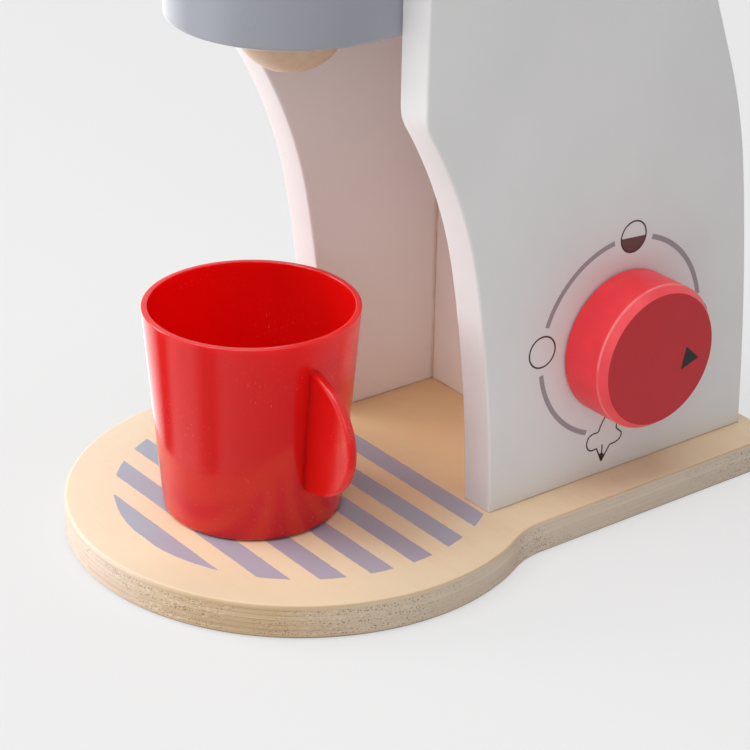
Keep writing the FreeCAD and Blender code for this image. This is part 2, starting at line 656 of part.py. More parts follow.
def lid_knob():
    """The turned ball on the lid with a flat foot, and the screw that holds it from below."""
    body = new_body("grip_blank", y="grip_place", z=LID_TOP)
    sketch = new_sketch(body, "grip_profile", "XZ_Plane")
    radius, foot = val("grip_radius"), val("grip_foot")
    bore, deep = val("screw_radius") + val("screw_play"), val("grip_bore_deep")
    rise = math.sqrt(radius ** 2 - foot ** 2)
    ball = arc(sketch, (0, rise), radius, -math.degrees(math.asin(rise / radius)), 90)
    corners = [(0, rise + radius), (0, deep), (bore, deep), (bore, 0), (foot, 0)]
    sides = polyline(sketch, corners, closed=False)
    tie(sketch, "Coincident", ball, 2, sides[0], 1)
    tie(sketch, "Coincident", sides[-1], 2, ball, 1)
    fix(sketch, "Radius", ball, start=radius, to="grip_radius")
    hold(sketch, ball, 3, across="0")
    hold(sketch, sides[0], 1, across="0")
    hold(sketch, sides[1], 1, across="0", up="grip_bore_deep")
    hold(sketch, sides[2], 1, across="screw_radius + screw_play", up="grip_bore_deep")
    hold(sketch, sides[3], 1, across="screw_radius + screw_play", up="0")
    hold(sketch, sides[3], 2, across="grip_foot", up="0")
    spin(body, sketch, "grip_turned", "V_Axis")
    keep(body, "lid_knob")
    keep(countersunk("grip_screw", "0", "grip_place", GRIP_SCREW_LOW, "grip_screw_long"), "lid_knob_screw")


def side_knob():
    """The big knob, and the sleeve, screw, washer and felt ring that let it turn in the panel."""
    body = new_body("knob_blank", "gap_half + panel_thick + knob_from", *KNOB_AXIS)
    sketch = new_sketch(body, "knob_profile", "XZ_Plane")
    long, bevel = val("knob_reach") - val("knob_from"), val("knob_bevel")
    wide, face = val("knob_radius"), val("knob_face_radius")
    bore, deep = val("screw_radius") + val("screw_play"), val("knob_bore_deep")
    seat, hollow = val("knob_hollow_deep"), val("knob_hollow")
    corners = [(seat, bore), (seat, hollow), (0, hollow), (0, wide), (long - bevel, wide), (long, face),
               (long, 0), (deep, 0), (deep, bore)]
    sides = polyline(sketch, corners)
    tight = "screw_radius + screw_play"
    full = "knob_reach - knob_from"
    rules = [("knob_hollow_deep", tight), ("knob_hollow_deep", "knob_hollow"), ("0", "knob_hollow"),
             ("0", "knob_radius"), (f"{full} - knob_bevel", "knob_radius"), (full, "knob_face_radius"),
             (full, "0"), ("knob_bore_deep", "0"), ("knob_bore_deep", tight)]
    for side, (across, up) in zip(sides, rules):
        hold(sketch, side, 1, across=across, up=up)
    turned = spin(body, sketch, "knob_turned", "H_Axis")
    soften(body, turned, "knob_edge", "knob_round", lambda e: level_circle(e, wide) or level_circle(e, face))
    keep(body, "knob")
    bore_rule = "screw_radius + screw_play"
    sleeve_from = "gap_half + sink_deep - washer_gap"
    sleeve_long = "panel_thick - sink_deep + washer_gap + knob_from + knob_hollow_deep"
    washer_from = f"{sleeve_from} - washer_thick"
    felt_from = "gap_half + panel_thick"
    keep(ring("sleeve", "sleeve_radius", bore_rule, sleeve_long, sleeve_from), "knob_sleeve")
    keep(ring("washer", "washer_radius", bore_rule, "washer_thick", washer_from), "knob_washer")
    keep(ring("felt", "felt_radius", "sleeve_radius + felt_play", "felt_thick", felt_from), "knob_felt")
    head_from = f"{washer_from} - pan_tall"
    tip_from = f"{washer_from} + knob_screw_long - pan_tip"
    solid = fuse("pan_solid", [
        cylinder("pan_head", "pan_radius", "pan_tall", head_from, *KNOB_AXIS, "X"),
        cylinder("pan_shank", "screw_radius", "knob_screw_long - pan_tip", washer_from, *KNOB_AXIS, "X"),
        cone("pan_end", "screw_radius", "screw_point", "pan_tip", tip_from, *KNOB_AXIS, "X"),
    ])
    keep(cut("pan_screw", solid, cross("pan_cross", head_from, *KNOB_AXIS, "X")), "knob_screw")


def ring(name, radius, hole, thick, start):
    """A round piece with a hole, on the side knob's axis."""
    disc = cylinder(name + "_disc", radius, thick, start, *KNOB_AXIS, "X")
    bore = cylinder(name + "_bore", hole, f"{thick} + 2 * spare", f"{start} - spare", *KNOB_AXIS, "X")
    return cut(name, disc, [bore])


def level_circle(edge, radius):
    """Whether an edge is a circle of a radius about the X direction."""
    curve = edge.Curve
    return isinstance(curve, Part.Circle) and abs(curve.Radius - radius) < 1e-3 and abs(curve.Axis.x) > 0.99


def mug():
    """The tapered mug: a turned cup with a foot ring, and a flat leaf-like handle on its +X side."""
    body = new_body("mug_body", "mug_side", "mug_place", "base_thick + mug_gap")
    profile = new_sketch(body, "mug_profile", "XZ_Plane")
    foot, rim, tall = val("mug_foot"), val("mug_rim"), val("mug_tall")
    wall, floor, ring, hollow = val("mug_wall"), val("mug_floor"), val("mug_ring"), val("mug_hollow")
    inside = foot + (rim - foot) * floor / tall - wall
    corners = [(0, hollow), (foot - ring, hollow), (foot - ring, 0), (foot, 0), (rim, tall),
               (rim - wall, tall), (inside, floor), (0, floor)]
    sides = polyline(profile, corners)
    inside_rule = "mug_foot + ( mug_rim - mug_foot ) * mug_floor / mug_tall - mug_wall"
    rules = [("0", "mug_hollow"), ("mug_foot - mug_ring", "mug_hollow"), ("mug_foot - mug_ring", "0"),
             ("mug_foot", "0"), ("mug_rim", "mug_tall"), ("mug_rim - mug_wall", "mug_tall"),
             (inside_rule, "mug_floor"), ("0", "mug_floor")]
    for side, (across, up) in zip(sides, rules):
        hold(profile, side, 1, across=across, up=up)
    spin(body, profile, "mug_turned", "V_Axis")
    leaf = new_sketch(body, "handle_outline", "XZ_Plane")
    handle_outline(leaf)
    handle = pad(body, leaf, "handle", "handle_thick", middle=True)
    half = val("handle_thick") / 2
    leaf_edge = soften(body, handle, "handle_edge", "handle_round",
                       lambda e: (level(e, "Y", half) or level(e, "Y", -half)) and e.BoundBox.XMax > rim)
    rims = soften(body, leaf_edge, "rim_edge", "rim_round", lambda e: level(e, "Z", tall))
    soften(body, rims, "foot_edge", "foot_round",
           lambda e: level(e, "Z", 0) and e.BoundBox.XMax > foot - 0.1 or level(e, "Z", floor))
    keep(body, "mug")


def handle_outline(sketch):
    """The handle's side view: three tangent arcs from the wall and back, closed inside the wall."""
    start = (val("handle_root_top"), val("handle_top"))
    radii = [val("handle_high_radius"), val("handle_nose_radius"), val("handle_low_radius")]
    arcs = []
    spot = start
    for radius, first, last in zip(radii, HANDLE_LEANS, HANDLE_LEANS[1:]):
        turn = math.radians(first)
        centre = (spot[0] - radius * math.sin(turn), spot[1] - radius * math.cos(turn))
        arcs.append(arc(sketch, centre, radius, 90 - last, 90 - first))
        turn = math.radians(last)
        spot = (centre[0] + radius * math.sin(turn), centre[1] + radius * math.cos(turn))
    high, nose, low = arcs
    root = segment(sketch, spot, start)
    tie(sketch, "Tangent", high, 1, nose, 2)
    tie(sketch, "Tangent", nose, 1, low, 2)
    tie(sketch, "Coincident", low, 1, root, 1)
    tie(sketch, "Coincident", root, 2, high, 2)
    for bend, alias in zip(arcs, ("handle_high_radius", "handle_nose_radius", "handle_low_radius")):
        fix(sketch, "Radius", bend, start=val(alias), to=alias)
    hold(sketch, root, 2, across="handle_root_top", up="handle_top")
    hold(sketch, root, 1, across="handle_root_low", up="handle_low")
    hold(sketch, nose, 2, up="handle_high_joint")
    hold(sketch, nose, 1, up="handle_low_joint")


def main():
    """Build every piece, check it and write it."""
    base_board()
    for side in SIDES:
        side_panel(side)
    for make in (back_wall, rear_cover, brew_head, nozzle, lid, lid_knob, side_knob, mug):
        make()
    DOC.recompute()
    faults = [f"{thing.Name} is {state}" for thing in DOC.Objects for state in thing.State
              if state in ("Invalid", "Error")]
    faults += [f"{thing.Name} is loose by {thing.solve()}" for thing in DOC.Objects
               if thing.TypeId == "Sketcher::SketchObject" and not thing.FullyConstrained]
    for thing in NODES:
        if thing.Shape.isNull() or not thing.Shape.isValid() or not thing.Shape.Solids:
            faults.append(f"{thing.Label} has no valid shape")
    if faults:
        raise RuntimeError("; ".join(faults))
    os.makedirs("parts", exist_ok=True)
    for thing in NODES:
        thing.Shape.exportStep(f"parts/{thing.Label}.step")
        bounds = thing.Shape.BoundBox
        print(f"{thing.Label:18s} {len(thing.Shape.Solids)} solid, {thing.Shape.Volume / 1000:8.2f} cm3, "
              f"x {bounds.XMin:.1f} {bounds.XMax:.1f}, y {bounds.YMin:.1f} {bounds.YMax:.1f}, "
              f"z {bounds.ZMin:.1f} {bounds.ZMax:.1f}")


main()
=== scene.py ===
import functools
import json
import math

import bmesh
import bpy
import numpy as np
from mathutils import Matrix
from mathutils.geometry import delaunay_2d_cdt


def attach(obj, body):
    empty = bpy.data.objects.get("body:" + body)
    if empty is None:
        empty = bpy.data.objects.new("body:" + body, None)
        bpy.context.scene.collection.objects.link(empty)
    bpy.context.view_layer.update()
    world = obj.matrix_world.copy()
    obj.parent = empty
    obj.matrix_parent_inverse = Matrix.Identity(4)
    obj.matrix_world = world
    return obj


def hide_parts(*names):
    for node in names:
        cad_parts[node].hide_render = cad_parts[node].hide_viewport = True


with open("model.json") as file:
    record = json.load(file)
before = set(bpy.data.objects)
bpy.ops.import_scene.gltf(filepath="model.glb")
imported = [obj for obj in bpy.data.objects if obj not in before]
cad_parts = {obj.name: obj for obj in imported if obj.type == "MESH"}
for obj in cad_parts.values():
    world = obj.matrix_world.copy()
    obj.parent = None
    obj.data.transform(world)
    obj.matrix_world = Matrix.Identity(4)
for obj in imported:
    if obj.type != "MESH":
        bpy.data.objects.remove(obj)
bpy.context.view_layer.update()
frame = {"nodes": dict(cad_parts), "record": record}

# A toy coffee maker of plywood and painted board, dressed piece by piece. Every shape is worked out in
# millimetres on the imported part's own origin and axes, and becomes metres when its mesh is made.
MM = 0.001

# main sizes of the boards, the head, the lid and the turned pieces
GAP_HALF = 32
BOARD = 11
PANEL_FACE = GAP_HALF + BOARD
BASE_TOP = 9.8
PANEL_TOP = 205
HEAD_LOW, HEAD_TOP, HEAD_CENTRE, NOZZLE_LEVEL = 146.4, 190, -4, 146.9
WALL_FRONT, WALL_TOP = 71.6, 170
KNOB_AXIS, KNOB_BACK, KNOB_RADIUS, KNOB_SIDE, KNOB_HIGH = (76.8, 49.9), 43.4, 20.8, 13.2, 15.6
DIAL_CENTRE, DIAL_RADIUS = (76.8, 50.9), 28.8
MUG_CENTRE, MUG_LOW, MUG_FOOT, MUG_RIM, MUG_TALL = (-1.2, -15.35), 10.0, 24.35, 29.05, 58.4
SCREW_PLACES = [(x, y) for x in (-37.5, 37.5) for y in (52, 112)] + [(-14, 77.1), (14, 77.1)]
SCREW_SINK = [(4.05, 0), (4.05, 0.3), (2.0, 2.6)]
LID_BALL_AT = -19
PRINT = 0.05

# the floor: how much it glows to the camera and to reflections, and its cards, each a place round the mug as a
# share of the turn and a brightness
FLOOR_GLOW, CARD_GLOW = 0.7, 2.0
CARDS = [(0.0, 1.0), (0.05, 0.9), (0.085, 0.55), (0.108, 0.08), (0.135, 0.1), (0.165, 0.5), (0.235, 0.48),
         (0.268, 0.18), (0.299, 0.18), (0.325, 0.36), (0.4, 0.26), (0.53, 0.16), (0.6, 0.28), (0.86, 0.28),
         (0.9, 1.0)]


def sweep(centre, radius, start, end, gap=1.0):
    """Points on an arc: the centre plus the radius times cosine and sine, between two angles in degrees."""
    count = max(4, int(abs(math.radians(end - start)) * radius / gap) + 2)
    turn = np.radians(np.linspace(start, end, count))
    return np.stack([centre[0] + radius * np.cos(turn), centre[1] + radius * np.sin(turn)], 1)


def joined(*runs):
    """Runs of points end to end as one closed outline, without the points that repeat."""
    path = np.concatenate([np.atleast_2d(run) for run in runs]).astype(float)
    step = np.linalg.norm(path - np.roll(path, 1, 0), axis=1)
    return path[step > 1e-4]


def rounded(corners, radii, steps=6, closed=True):
    """A polygon with each corner turned into an arc. The arc is a conic through the two points where it
    touches its sides, weighted by the sine of half the corner's angle, which makes it a true circle."""
    corners = np.asarray(corners, float)
    radii = np.broadcast_to(np.asarray(radii, float), (len(corners),))
    back = np.roll(corners, 1, 0) - corners
    ahead = np.roll(corners, -1, 0) - corners
    back /= np.linalg.norm(back, axis=1, keepdims=True)
    ahead /= np.linalg.norm(ahead, axis=1, keepdims=True)
    half = np.arccos(np.clip((back * ahead).sum(1), -0.999999, 0.999999)) / 2
    reach = (radii / np.tan(half))[:, None]
    first, last = corners + back * reach, corners + ahead * reach
    s = np.linspace(0, 1, steps)[:, None, None]
    pull = np.sin(half)[:, None]
    top = (1 - s) ** 2 * first + 2 * s * (1 - s) * pull * corners + s ** 2 * last
    path = (top / ((1 - s) ** 2 + 2 * s * (1 - s) * pull + s ** 2)).transpose(1, 0, 2)
    if not closed:
        path[0], path[-1] = corners[0], corners[-1]
    path = path.reshape(-1, 2)
    step = np.linalg.norm(path - np.roll(path, 1, 0), axis=1)
    step[0] = max(step[0], 1) if not closed else step[0]
    return path[step > 1e-4]


def inset(outline, depth):
    """An outline moved inwards: each point goes to where its two sides meet once they have moved in by
    their own depths, which for two nearly straight sides is along the middle of their normals."""
    ahead = np.roll(outline, -1, 0) - outline
    ahead /= np.linalg.norm(ahead, axis=1, keepdims=True)
    out = np.stack([ahead[:, 1], -ahead[:, 0]], 1)
    before = np.roll(out, 1, 0)
    depth = np.broadcast_to(np.asarray(depth, float), (len(outline),))
    earlier = np.roll(depth, 1)
    cosine = (out * before).sum(1)
    smooth = (out + before) * ((depth + earlier) / 2 / (1 + cosine))[:, None]
    spread = np.maximum(1 - cosine ** 2, 1e-9)
    sharp = out * ((depth - cosine * earlier) / spread)[:, None]
    sharp += before * ((earlier - cosine * depth) / spread)[:, None]
    return outline - np.where((cosine > 0.98)[:, None], smooth, sharp)


def arc_chain(foot, centre, low_radius, joint, high_radius):
    """Two tangent arcs that rise from the base's top: both centres, and the leans at the foot and joint."""
    foot_lean = math.asin((BASE_TOP - centre) / low_radius)
    joint_lean = math.asin((joint - centre) / low_radius)
    low = (foot - low_radius * math.cos(foot_lean), centre)
    step = low_radius - high_radius
    high = (low[0] + step * math.cos(joint_lean), low[1] + step * math.sin(joint_lean))
    return low, high, math.degrees(foot_lean), math.degrees(joint_lean)


def rear_run(moved_in=0):
    """The rear edge of the boards from foot to top, as points: two arcs, a slope and a top arc."""
    first, second, last, lean = 708, 162, 28, 20.5
    low, high, _, joint = arc_chain(126.4, -8, first, 89.6, second)
    turn, step, top_z = math.radians(lean), second - last, PANEL_TOP - last
    slope = (top_z - high[1] - step * math.sin(turn)) / math.cos(turn)
    top_y = high[0] + step * math.cos(turn) - slope * math.sin(turn)
    foot = math.degrees(math.asin((BASE_TOP - low[1]) / (first - moved_in)))
    return np.concatenate([
        sweep(low, first - moved_in, foot, joint, 3), sweep(high, second - moved_in, joint, lean, 2),
        sweep((top_y, top_z), last - moved_in, lean, 90, 0.8)])


def panel_outline():
    """The side panel seen from its side, counterclockwise, and how far each of its edges is rounded."""
    edge, nook, corner, first, second = 6.65, 12, 12, 421, 130
    low, high, foot, joint = arc_chain(31.9, 2.6, first, 79, second)
    turn = math.acos((edge + nook - high[0]) / (second + nook))
    nook_z = high[1] + (second + nook) * math.sin(turn)
    front = np.concatenate([
        sweep(low, first, foot, joint, 2), sweep(high, second, joint, math.degrees(turn), 1.2),
        sweep((edge + nook, nook_z), nook, 180 + math.degrees(turn), 180, 0.5),
        sweep((edge + corner, PANEL_TOP - corner), corner, 180, 90, 0.6)])
    outline = joined(rear_run(), front[::-1])
    following = np.roll(outline, -1, 0)
    at_foot = (outline[:, 1] < BASE_TOP + 1e-3) & (following[:, 1] < BASE_TOP + 1e-3)
    return outline, np.where(at_foot, 0.55, 1.0)


def base_outline():
    """The base's plan: a disc, two hollow arcs and a strip with round rear corners."""
    disc, half, rear, waist, corner = 65, 55, 131, 25, 8
    waist_y = math.sqrt((disc + waist) ** 2 - (half + waist) ** 2)
    turn = math.degrees(math.atan2(waist_y, half + waist))
    return joined(
        sweep((0, 0), disc, 180 - turn, 360 + turn, 0.8),
        sweep((half + waist, waist_y), waist, 180 + turn, 180, 0.6),
        sweep((half - corner, rear - corner), corner, 0, 90, 0.6),
        sweep((corner - half, rear - corner), corner, 90, 180, 0.6),
        sweep((-half - waist, waist_y), waist, 0, -turn, 0.6))


def band(first, second):
    """Quads between two closed rows of point numbers."""
    return np.stack([first, np.roll(first, -1), np.roll(second, -1), second], 1).tolist()


def strip(first, second):
    """Quads between two open rows of point numbers."""
    return np.stack([first[:-1], first[1:], second[1:], second[:-1]], 1).tolist()


def skin(rows, link=band):
    """Quads between each row of point numbers and the next."""
    return [quad for first, second in zip(rows, rows[1:]) for quad in link(first, second)]


CIRCLE = np.stack([wave(np.linspace(0, 2 * math.pi, 48, endpoint=False)) for wave in (np.cos, np.sin)], 1)


def flat_cap(loops):
    """Triangles that fill a flat outline, less the loops inside it. Each loop is its points and numbers."""
    if len(loops) == 1:
        return [loops[0][1].tolist()]
    flat = np.concatenate([points for points, _ in loops])
    numbers = np.concatenate([own for _, own in loops])
    ends = np.cumsum([len(points) for points, _ in loops])
    rows = [np.arange(end - len(points), end).tolist() for end, (points, _) in zip(ends, loops)]
    made = delaunay_2d_cdt([tuple(p) for p in flat], [], rows, 2, 1e-7)
    return [[int(numbers[made[3][corner][0]]) for corner in face] for face in made[2]]


def placed(name, data):
    """A new object in the scene."""
    thing = bpy.data.objects.new(name, data)
    bpy.context.scene.collection.objects.link(thing)
    return thing


def piece(name, points, faces, body, slot, stands_for=(), worn=None, sharp=38):
    """A mesh from points in millimetres: doubles merged, faces turned outwards, smooth but at its sharp
    edges. It rides on a body and takes its finish from a slot. Worn is 1 on edges and 0 on faces."""
    mesh = bpy.data.meshes.new(name)
    mesh.from_pydata((np.asarray(points, float).reshape(-1, 3) * MM).tolist(), [], faces)
    worn = np.zeros(len(mesh.vertices)) if worn is None else np.asarray(worn, float).ravel()
    mesh.attributes.new("worn", "FLOAT", "POINT").data.foreach_set("value", worn.astype(np.float32))
    work = bmesh.new()
    work.from_mesh(mesh)
    bmesh.ops.remove_doubles(work, verts=work.verts, dist=1e-7)
    bmesh.ops.recalc_face_normals(work, faces=work.faces)
    work.to_mesh(mesh)
    work.free()
    mesh.shade_smooth()
    mesh.set_sharp_from_angle(angle=math.radians(sharp))
    thing = placed(name, mesh)
    thing.data.materials.append(FINISH[slot])
    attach(thing, body)
    if stands_for:
        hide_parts(*stands_for)
    return thing


def laid(points, plane):
    """Points of a plan and a level as x, y, z: a flat board's level is its height, an upright one's is x."""
    return points if plane == "flat" else points[..., [2, 0, 1]]


def board(outline, low, high, rounding, plane, bores=(), soft=None, steps=5):
    """Points, faces and wear of a board. Its outline runs up a profile that rounds both its rims by a
    quarter circle: inset is 1 less the sine, and rise 1 less the cosine, times the rounding. A bore is a
    place and its (radius, level) steps, and opens in each face whose level it starts or ends at."""
    soft = np.ones(len(outline)) if soft is None else soft
    own = np.minimum(soft, np.roll(soft, 1))
    turn = np.linspace(0, math.pi / 2, steps + 1)
    depths = rounding * np.concatenate([1 - np.sin(turn), (1 - np.sin(turn))[::-1]])
    rise = rounding * (1 - np.cos(turn))[:, None] * own
    levels = np.concatenate([low + rise, high - rise[::-1]])
    rings = np.stack([inset(outline, depth * soft) for depth in depths])
    points = np.concatenate([rings, levels[:, :, None]], 2)
    rows = np.arange(points.shape[0] * points.shape[1]).reshape(points.shape[:2])
    faces = skin(rows)
    wear = np.concatenate([np.sin(2 * turn), np.sin(2 * turn)[::-1]])[:, None] * own
    points, wear = points.reshape(-1, 3), wear.ravel()
    caps = {low: [(rings[0], rows[0])], high: [(rings[-1], rows[-1])]}
    for spot, stages in bores:
        radius, level = np.array(stages, float).T
        tube = np.concatenate([np.array(spot) + radius[:, None, None] * CIRCLE,
                               np.broadcast_to(level[:, None, None], (len(stages), len(CIRCLE), 1))], 2)
        rows = len(points) + np.arange(tube.size // 3).reshape(tube.shape[:2])
        points = np.concatenate([points, tube.reshape(-1, 3)])
        wear = np.concatenate([wear, np.zeros(rows.size)])
        faces += skin(rows)
        for end in (0, -1):
            if level[end] in caps:
                caps[level[end]].append((tube[end, :, :2], rows[end]))
            else:
                faces.append(rows[end].tolist())
    for loops in caps.values():
        faces += flat_cap(loops)
    return laid(points, plane), faces, wear


def spun(profile, centre, axis="Z", steps=192):
    """Points and faces of a turned piece: a profile of (radius, height) carried round an axis."""
    profile = np.asarray(profile, float)
    turn = np.linspace(0, 2 * math.pi, steps, endpoint=False)
    radius, height = profile[:, :1], np.broadcast_to(profile[:, 1:], (len(profile), steps))
    across, up = radius * np.cos(turn), radius * np.sin(turn)
    parts = [across, up, height] if axis == "Z" else [height, across, up]
    points = np.stack(parts, 2) + np.asarray(centre, float)
    return points.reshape(-1, 3), skin(np.arange(len(profile) * steps).reshape(len(profile), steps))


def ribbon(path, width, closed):
    """Points and faces of a printed line on the right panel: its path offset to both sides by half its
    width, along the normal of the middle of its two runs, at the panel's face and a hair above it."""
    path = np.asarray(path, float)
    ahead = np.roll(path, -1, 0) - path
    behind = path - np.roll(path, 1, 0)
    if not closed:
        ahead[-1], behind[0] = behind[-1], ahead[0]
    along = ahead / np.linalg.norm(ahead, axis=1, keepdims=True)
    along += behind / np.linalg.norm(behind, axis=1, keepdims=True)
    along /= np.linalg.norm(along, axis=1, keepdims=True)
    normal = np.stack([along[:, 1], -along[:, 0]], 1) * width / 2
    sides = [(path + normal, 0), (path + normal, PRINT), (path - normal, PRINT), (path - normal, 0)]
    points = np.stack([np.insert(side, 0, PANEL_FACE + rise, 1) for side, rise in sides])
    rows = np.arange(4 * len(path)).reshape(4, -1)
    faces = skin(np.concatenate([rows, rows[:1]]), band if closed else strip)
    if not closed:
        faces += [rows[:, 0].tolist(), rows[:, -1].tolist()]
    return points.reshape(-1, 3), faces


def stamp(outline, level):
    """Points and faces of a printed patch: its outline, upright at a level, and again a hair above it."""
    outline = np.asarray(outline, float)
    points = np.stack([np.insert(outline, 0, level + rise, 1) for rise in (0, PRINT)])
    rows = np.arange(2 * len(outline)).reshape(2, -1)
    return points.reshape(-1, 3), rows.tolist() + band(*rows)


def together(*meshes):
    """Several (points, faces) as one."""
    points, faces, start = [], [], 0
    for own, rows in meshes:
        points.append(own)
        faces += [[corner + start for corner in row] for row in rows]
        start += len(own)
    return np.concatenate(points), faces


def closed_curve(knots, per=10):
    """A smooth closed line through knots: between each two, a cubic whose slopes are half the way
    between the knots' neighbours."""
    knots = np.asarray(knots, float)
    before, after, later = np.roll(knots, 1, 0), np.roll(knots, -1, 0), np.roll(knots, -2, 0)
    t = np.linspace(0, 1, per, endpoint=False)[:, None, None]
    slope, next_slope = (after - before) / 2, (later - knots) / 2
    line = (2 * t ** 3 - 3 * t ** 2 + 1) * knots + (t ** 3 - 2 * t ** 2 + t) * slope
    line = line + (-2 * t ** 3 + 3 * t ** 2) * after + (t ** 3 - t ** 2) * next_slope
    return line.transpose(1, 0, 2).reshape(-1, 2)


def lid_shell():
    """The lid: a slab with a half-round nose and a round heel on its hinge. Each loop runs round the nose
    on top, down the heel's right end, back underneath and up its left end, and the loops step outwards
    on a quarter circle that rounds the rim. Inside them lie the flat faces and the heel's round back."""
    half, thick, rim, rear = 31.5, 6.5, 1.5, 50
    middle = HEAD_TOP + 0.3 + thick
    nose_turn = np.linspace(math.pi, 2 * math.pi, 90)
    heel_turn = np.linspace(math.pi / 2, -math.pi / 2, 22)[1:-1]
    loops = []
    for turn in np.linspace(0, math.pi / 2, 6):
        out = half - rim * (1 - math.sin(turn))
        up = thick - rim * (1 - math.cos(turn))
        nose = np.stack([out * np.cos(nose_turn), HEAD_CENTRE + out * np.sin(nose_turn)], 1)
        top = np.concatenate([[[-out, rear]], nose, [[out, rear]]])
        top = np.column_stack([top, np.full(len(top), up)])
        under = top[::-1] * (1, 1, -1)
        heel = np.column_stack([np.full(20, out), rear + up * np.cos(heel_turn), up * np.sin(heel_turn)])
        loops.append(np.concatenate([top, heel, under, heel[::-1] * (-1, 1, 1)]))
    loops = np.stack(loops) + (0, 0, middle)
    count, wide = len(top), loops.shape[1]
    rows = np.arange(len(loops) * wide).reshape(len(loops), wide)
    faces = skin(rows)
    right = np.arange(count - 1, count + 21)
    left = np.concatenate([[0], np.arange(wide - 1, wide - 21, -1), [2 * count + 19]])
    faces += strip(rows[0][right], rows[0][left])
    faces += strip(rows[-1][np.arange(1, count - 1)], rows[-1][np.arange(2 * count + 18, count + 20, -1)])
    faces.append(rows[-1][count - 2:count + 22].tolist())
    faces.append(rows[-1][[1, *left, 2 * count + 18]].tolist())
    faces.append(rows[0][:count].tolist())
    points = loops.reshape(-1, 3)
    wear = np.repeat(np.sin(2 * np.linspace(0, math.pi / 2, 6)), wide)
    low = middle - thick
    sink = np.stack([np.column_stack([radius * CIRCLE + (0, LID_BALL_AT), np.full(len(CIRCLE), low + up)])
                     for radius, up in (*SCREW_SINK, (SCREW_SINK[-1][0], 12))])
    bore = len(points) + np.arange(sink.size // 3).reshape(sink.shape[:2])
    faces += skin(bore)
    faces.append(bore[-1].tolist())
    under_row = rows[0][count + 20:2 * count + 20]
    faces += flat_cap([(loops[0][count + 20:2 * count + 20, :2], under_row), (sink[0][:, :2], bore[0])])
    return np.concatenate([points, sink.reshape(-1, 3)]), faces, np.concatenate([wear, np.zeros(bore.size)])


def handle_leaf():
    """The mug's handle: a leaf whose points lie on straight lines from its outer edge to its root inside
    the wall. Half its thickness falls to a round rim by the distance to the edge."""
    slopes, radii = (5.0097, 42.754, 161.4557, 178.5749), (21, 17, 31)
    spot, edge = np.array([27.6, 49.7]), []
    for radius, first, last in zip(radii, slopes, slopes[1:]):
        turn = math.radians(first)
        centre = spot - radius * np.array([math.sin(turn), math.cos(turn)])
        run = sweep(centre, radius, 90 - first, 90 - last, 0.35)
        edge.append(run[:-1])
        spot = run[-1]
    edge = np.concatenate([*edge, [spot]])
    height = np.linspace(edge[0, 1], edge[-1, 1], len(edge))[:, None]
    root = np.concatenate([MUG_FOOT + (MUG_RIM - MUG_FOOT) * height / MUG_TALL - 0.9, height], 1)
    root[0], root[-1] = edge[0] + (-0.4, -0.02), edge[-1] + (-0.4, 0.02)
    along = np.concatenate([1 - np.cos(np.linspace(0, math.pi / 2, 14)[:-1]), [0.999999]])[None, :, None]
    along = np.concatenate([0.5 * along, 1 - 0.5 * along[:, ::-1]], 1)
    leaf = edge[:, None] * (1 - along) + root[:, None] * along
    gap = np.sqrt(((leaf[:, :, None] - edge[None, None]) ** 2).sum(3)).min(2)
    far = np.clip(0.9 - gap, 0, 0.9)
    half = 0.5 + np.sqrt(0.81 - far ** 2)
    x, z = leaf[..., 0] + MUG_CENTRE[0], leaf[..., 1] + MUG_LOW
    sheets = np.stack([np.stack([x, MUG_CENTRE[1] + sign * half, z], 2) for sign in (-1, 1)])
    rows = np.arange(sheets.size // 3).reshape(sheets.shape[:3])
    faces = []
    for sheet in rows:
        faces += skin(sheet, strip)
    border = [np.concatenate([s[:, 0], s[-1, 1:], s[-2::-1, -1], s[0, -2:0:-1]]) for s in rows]
    faces += band(border[0], border[1])
    return sheets.reshape(-1, 3), faces


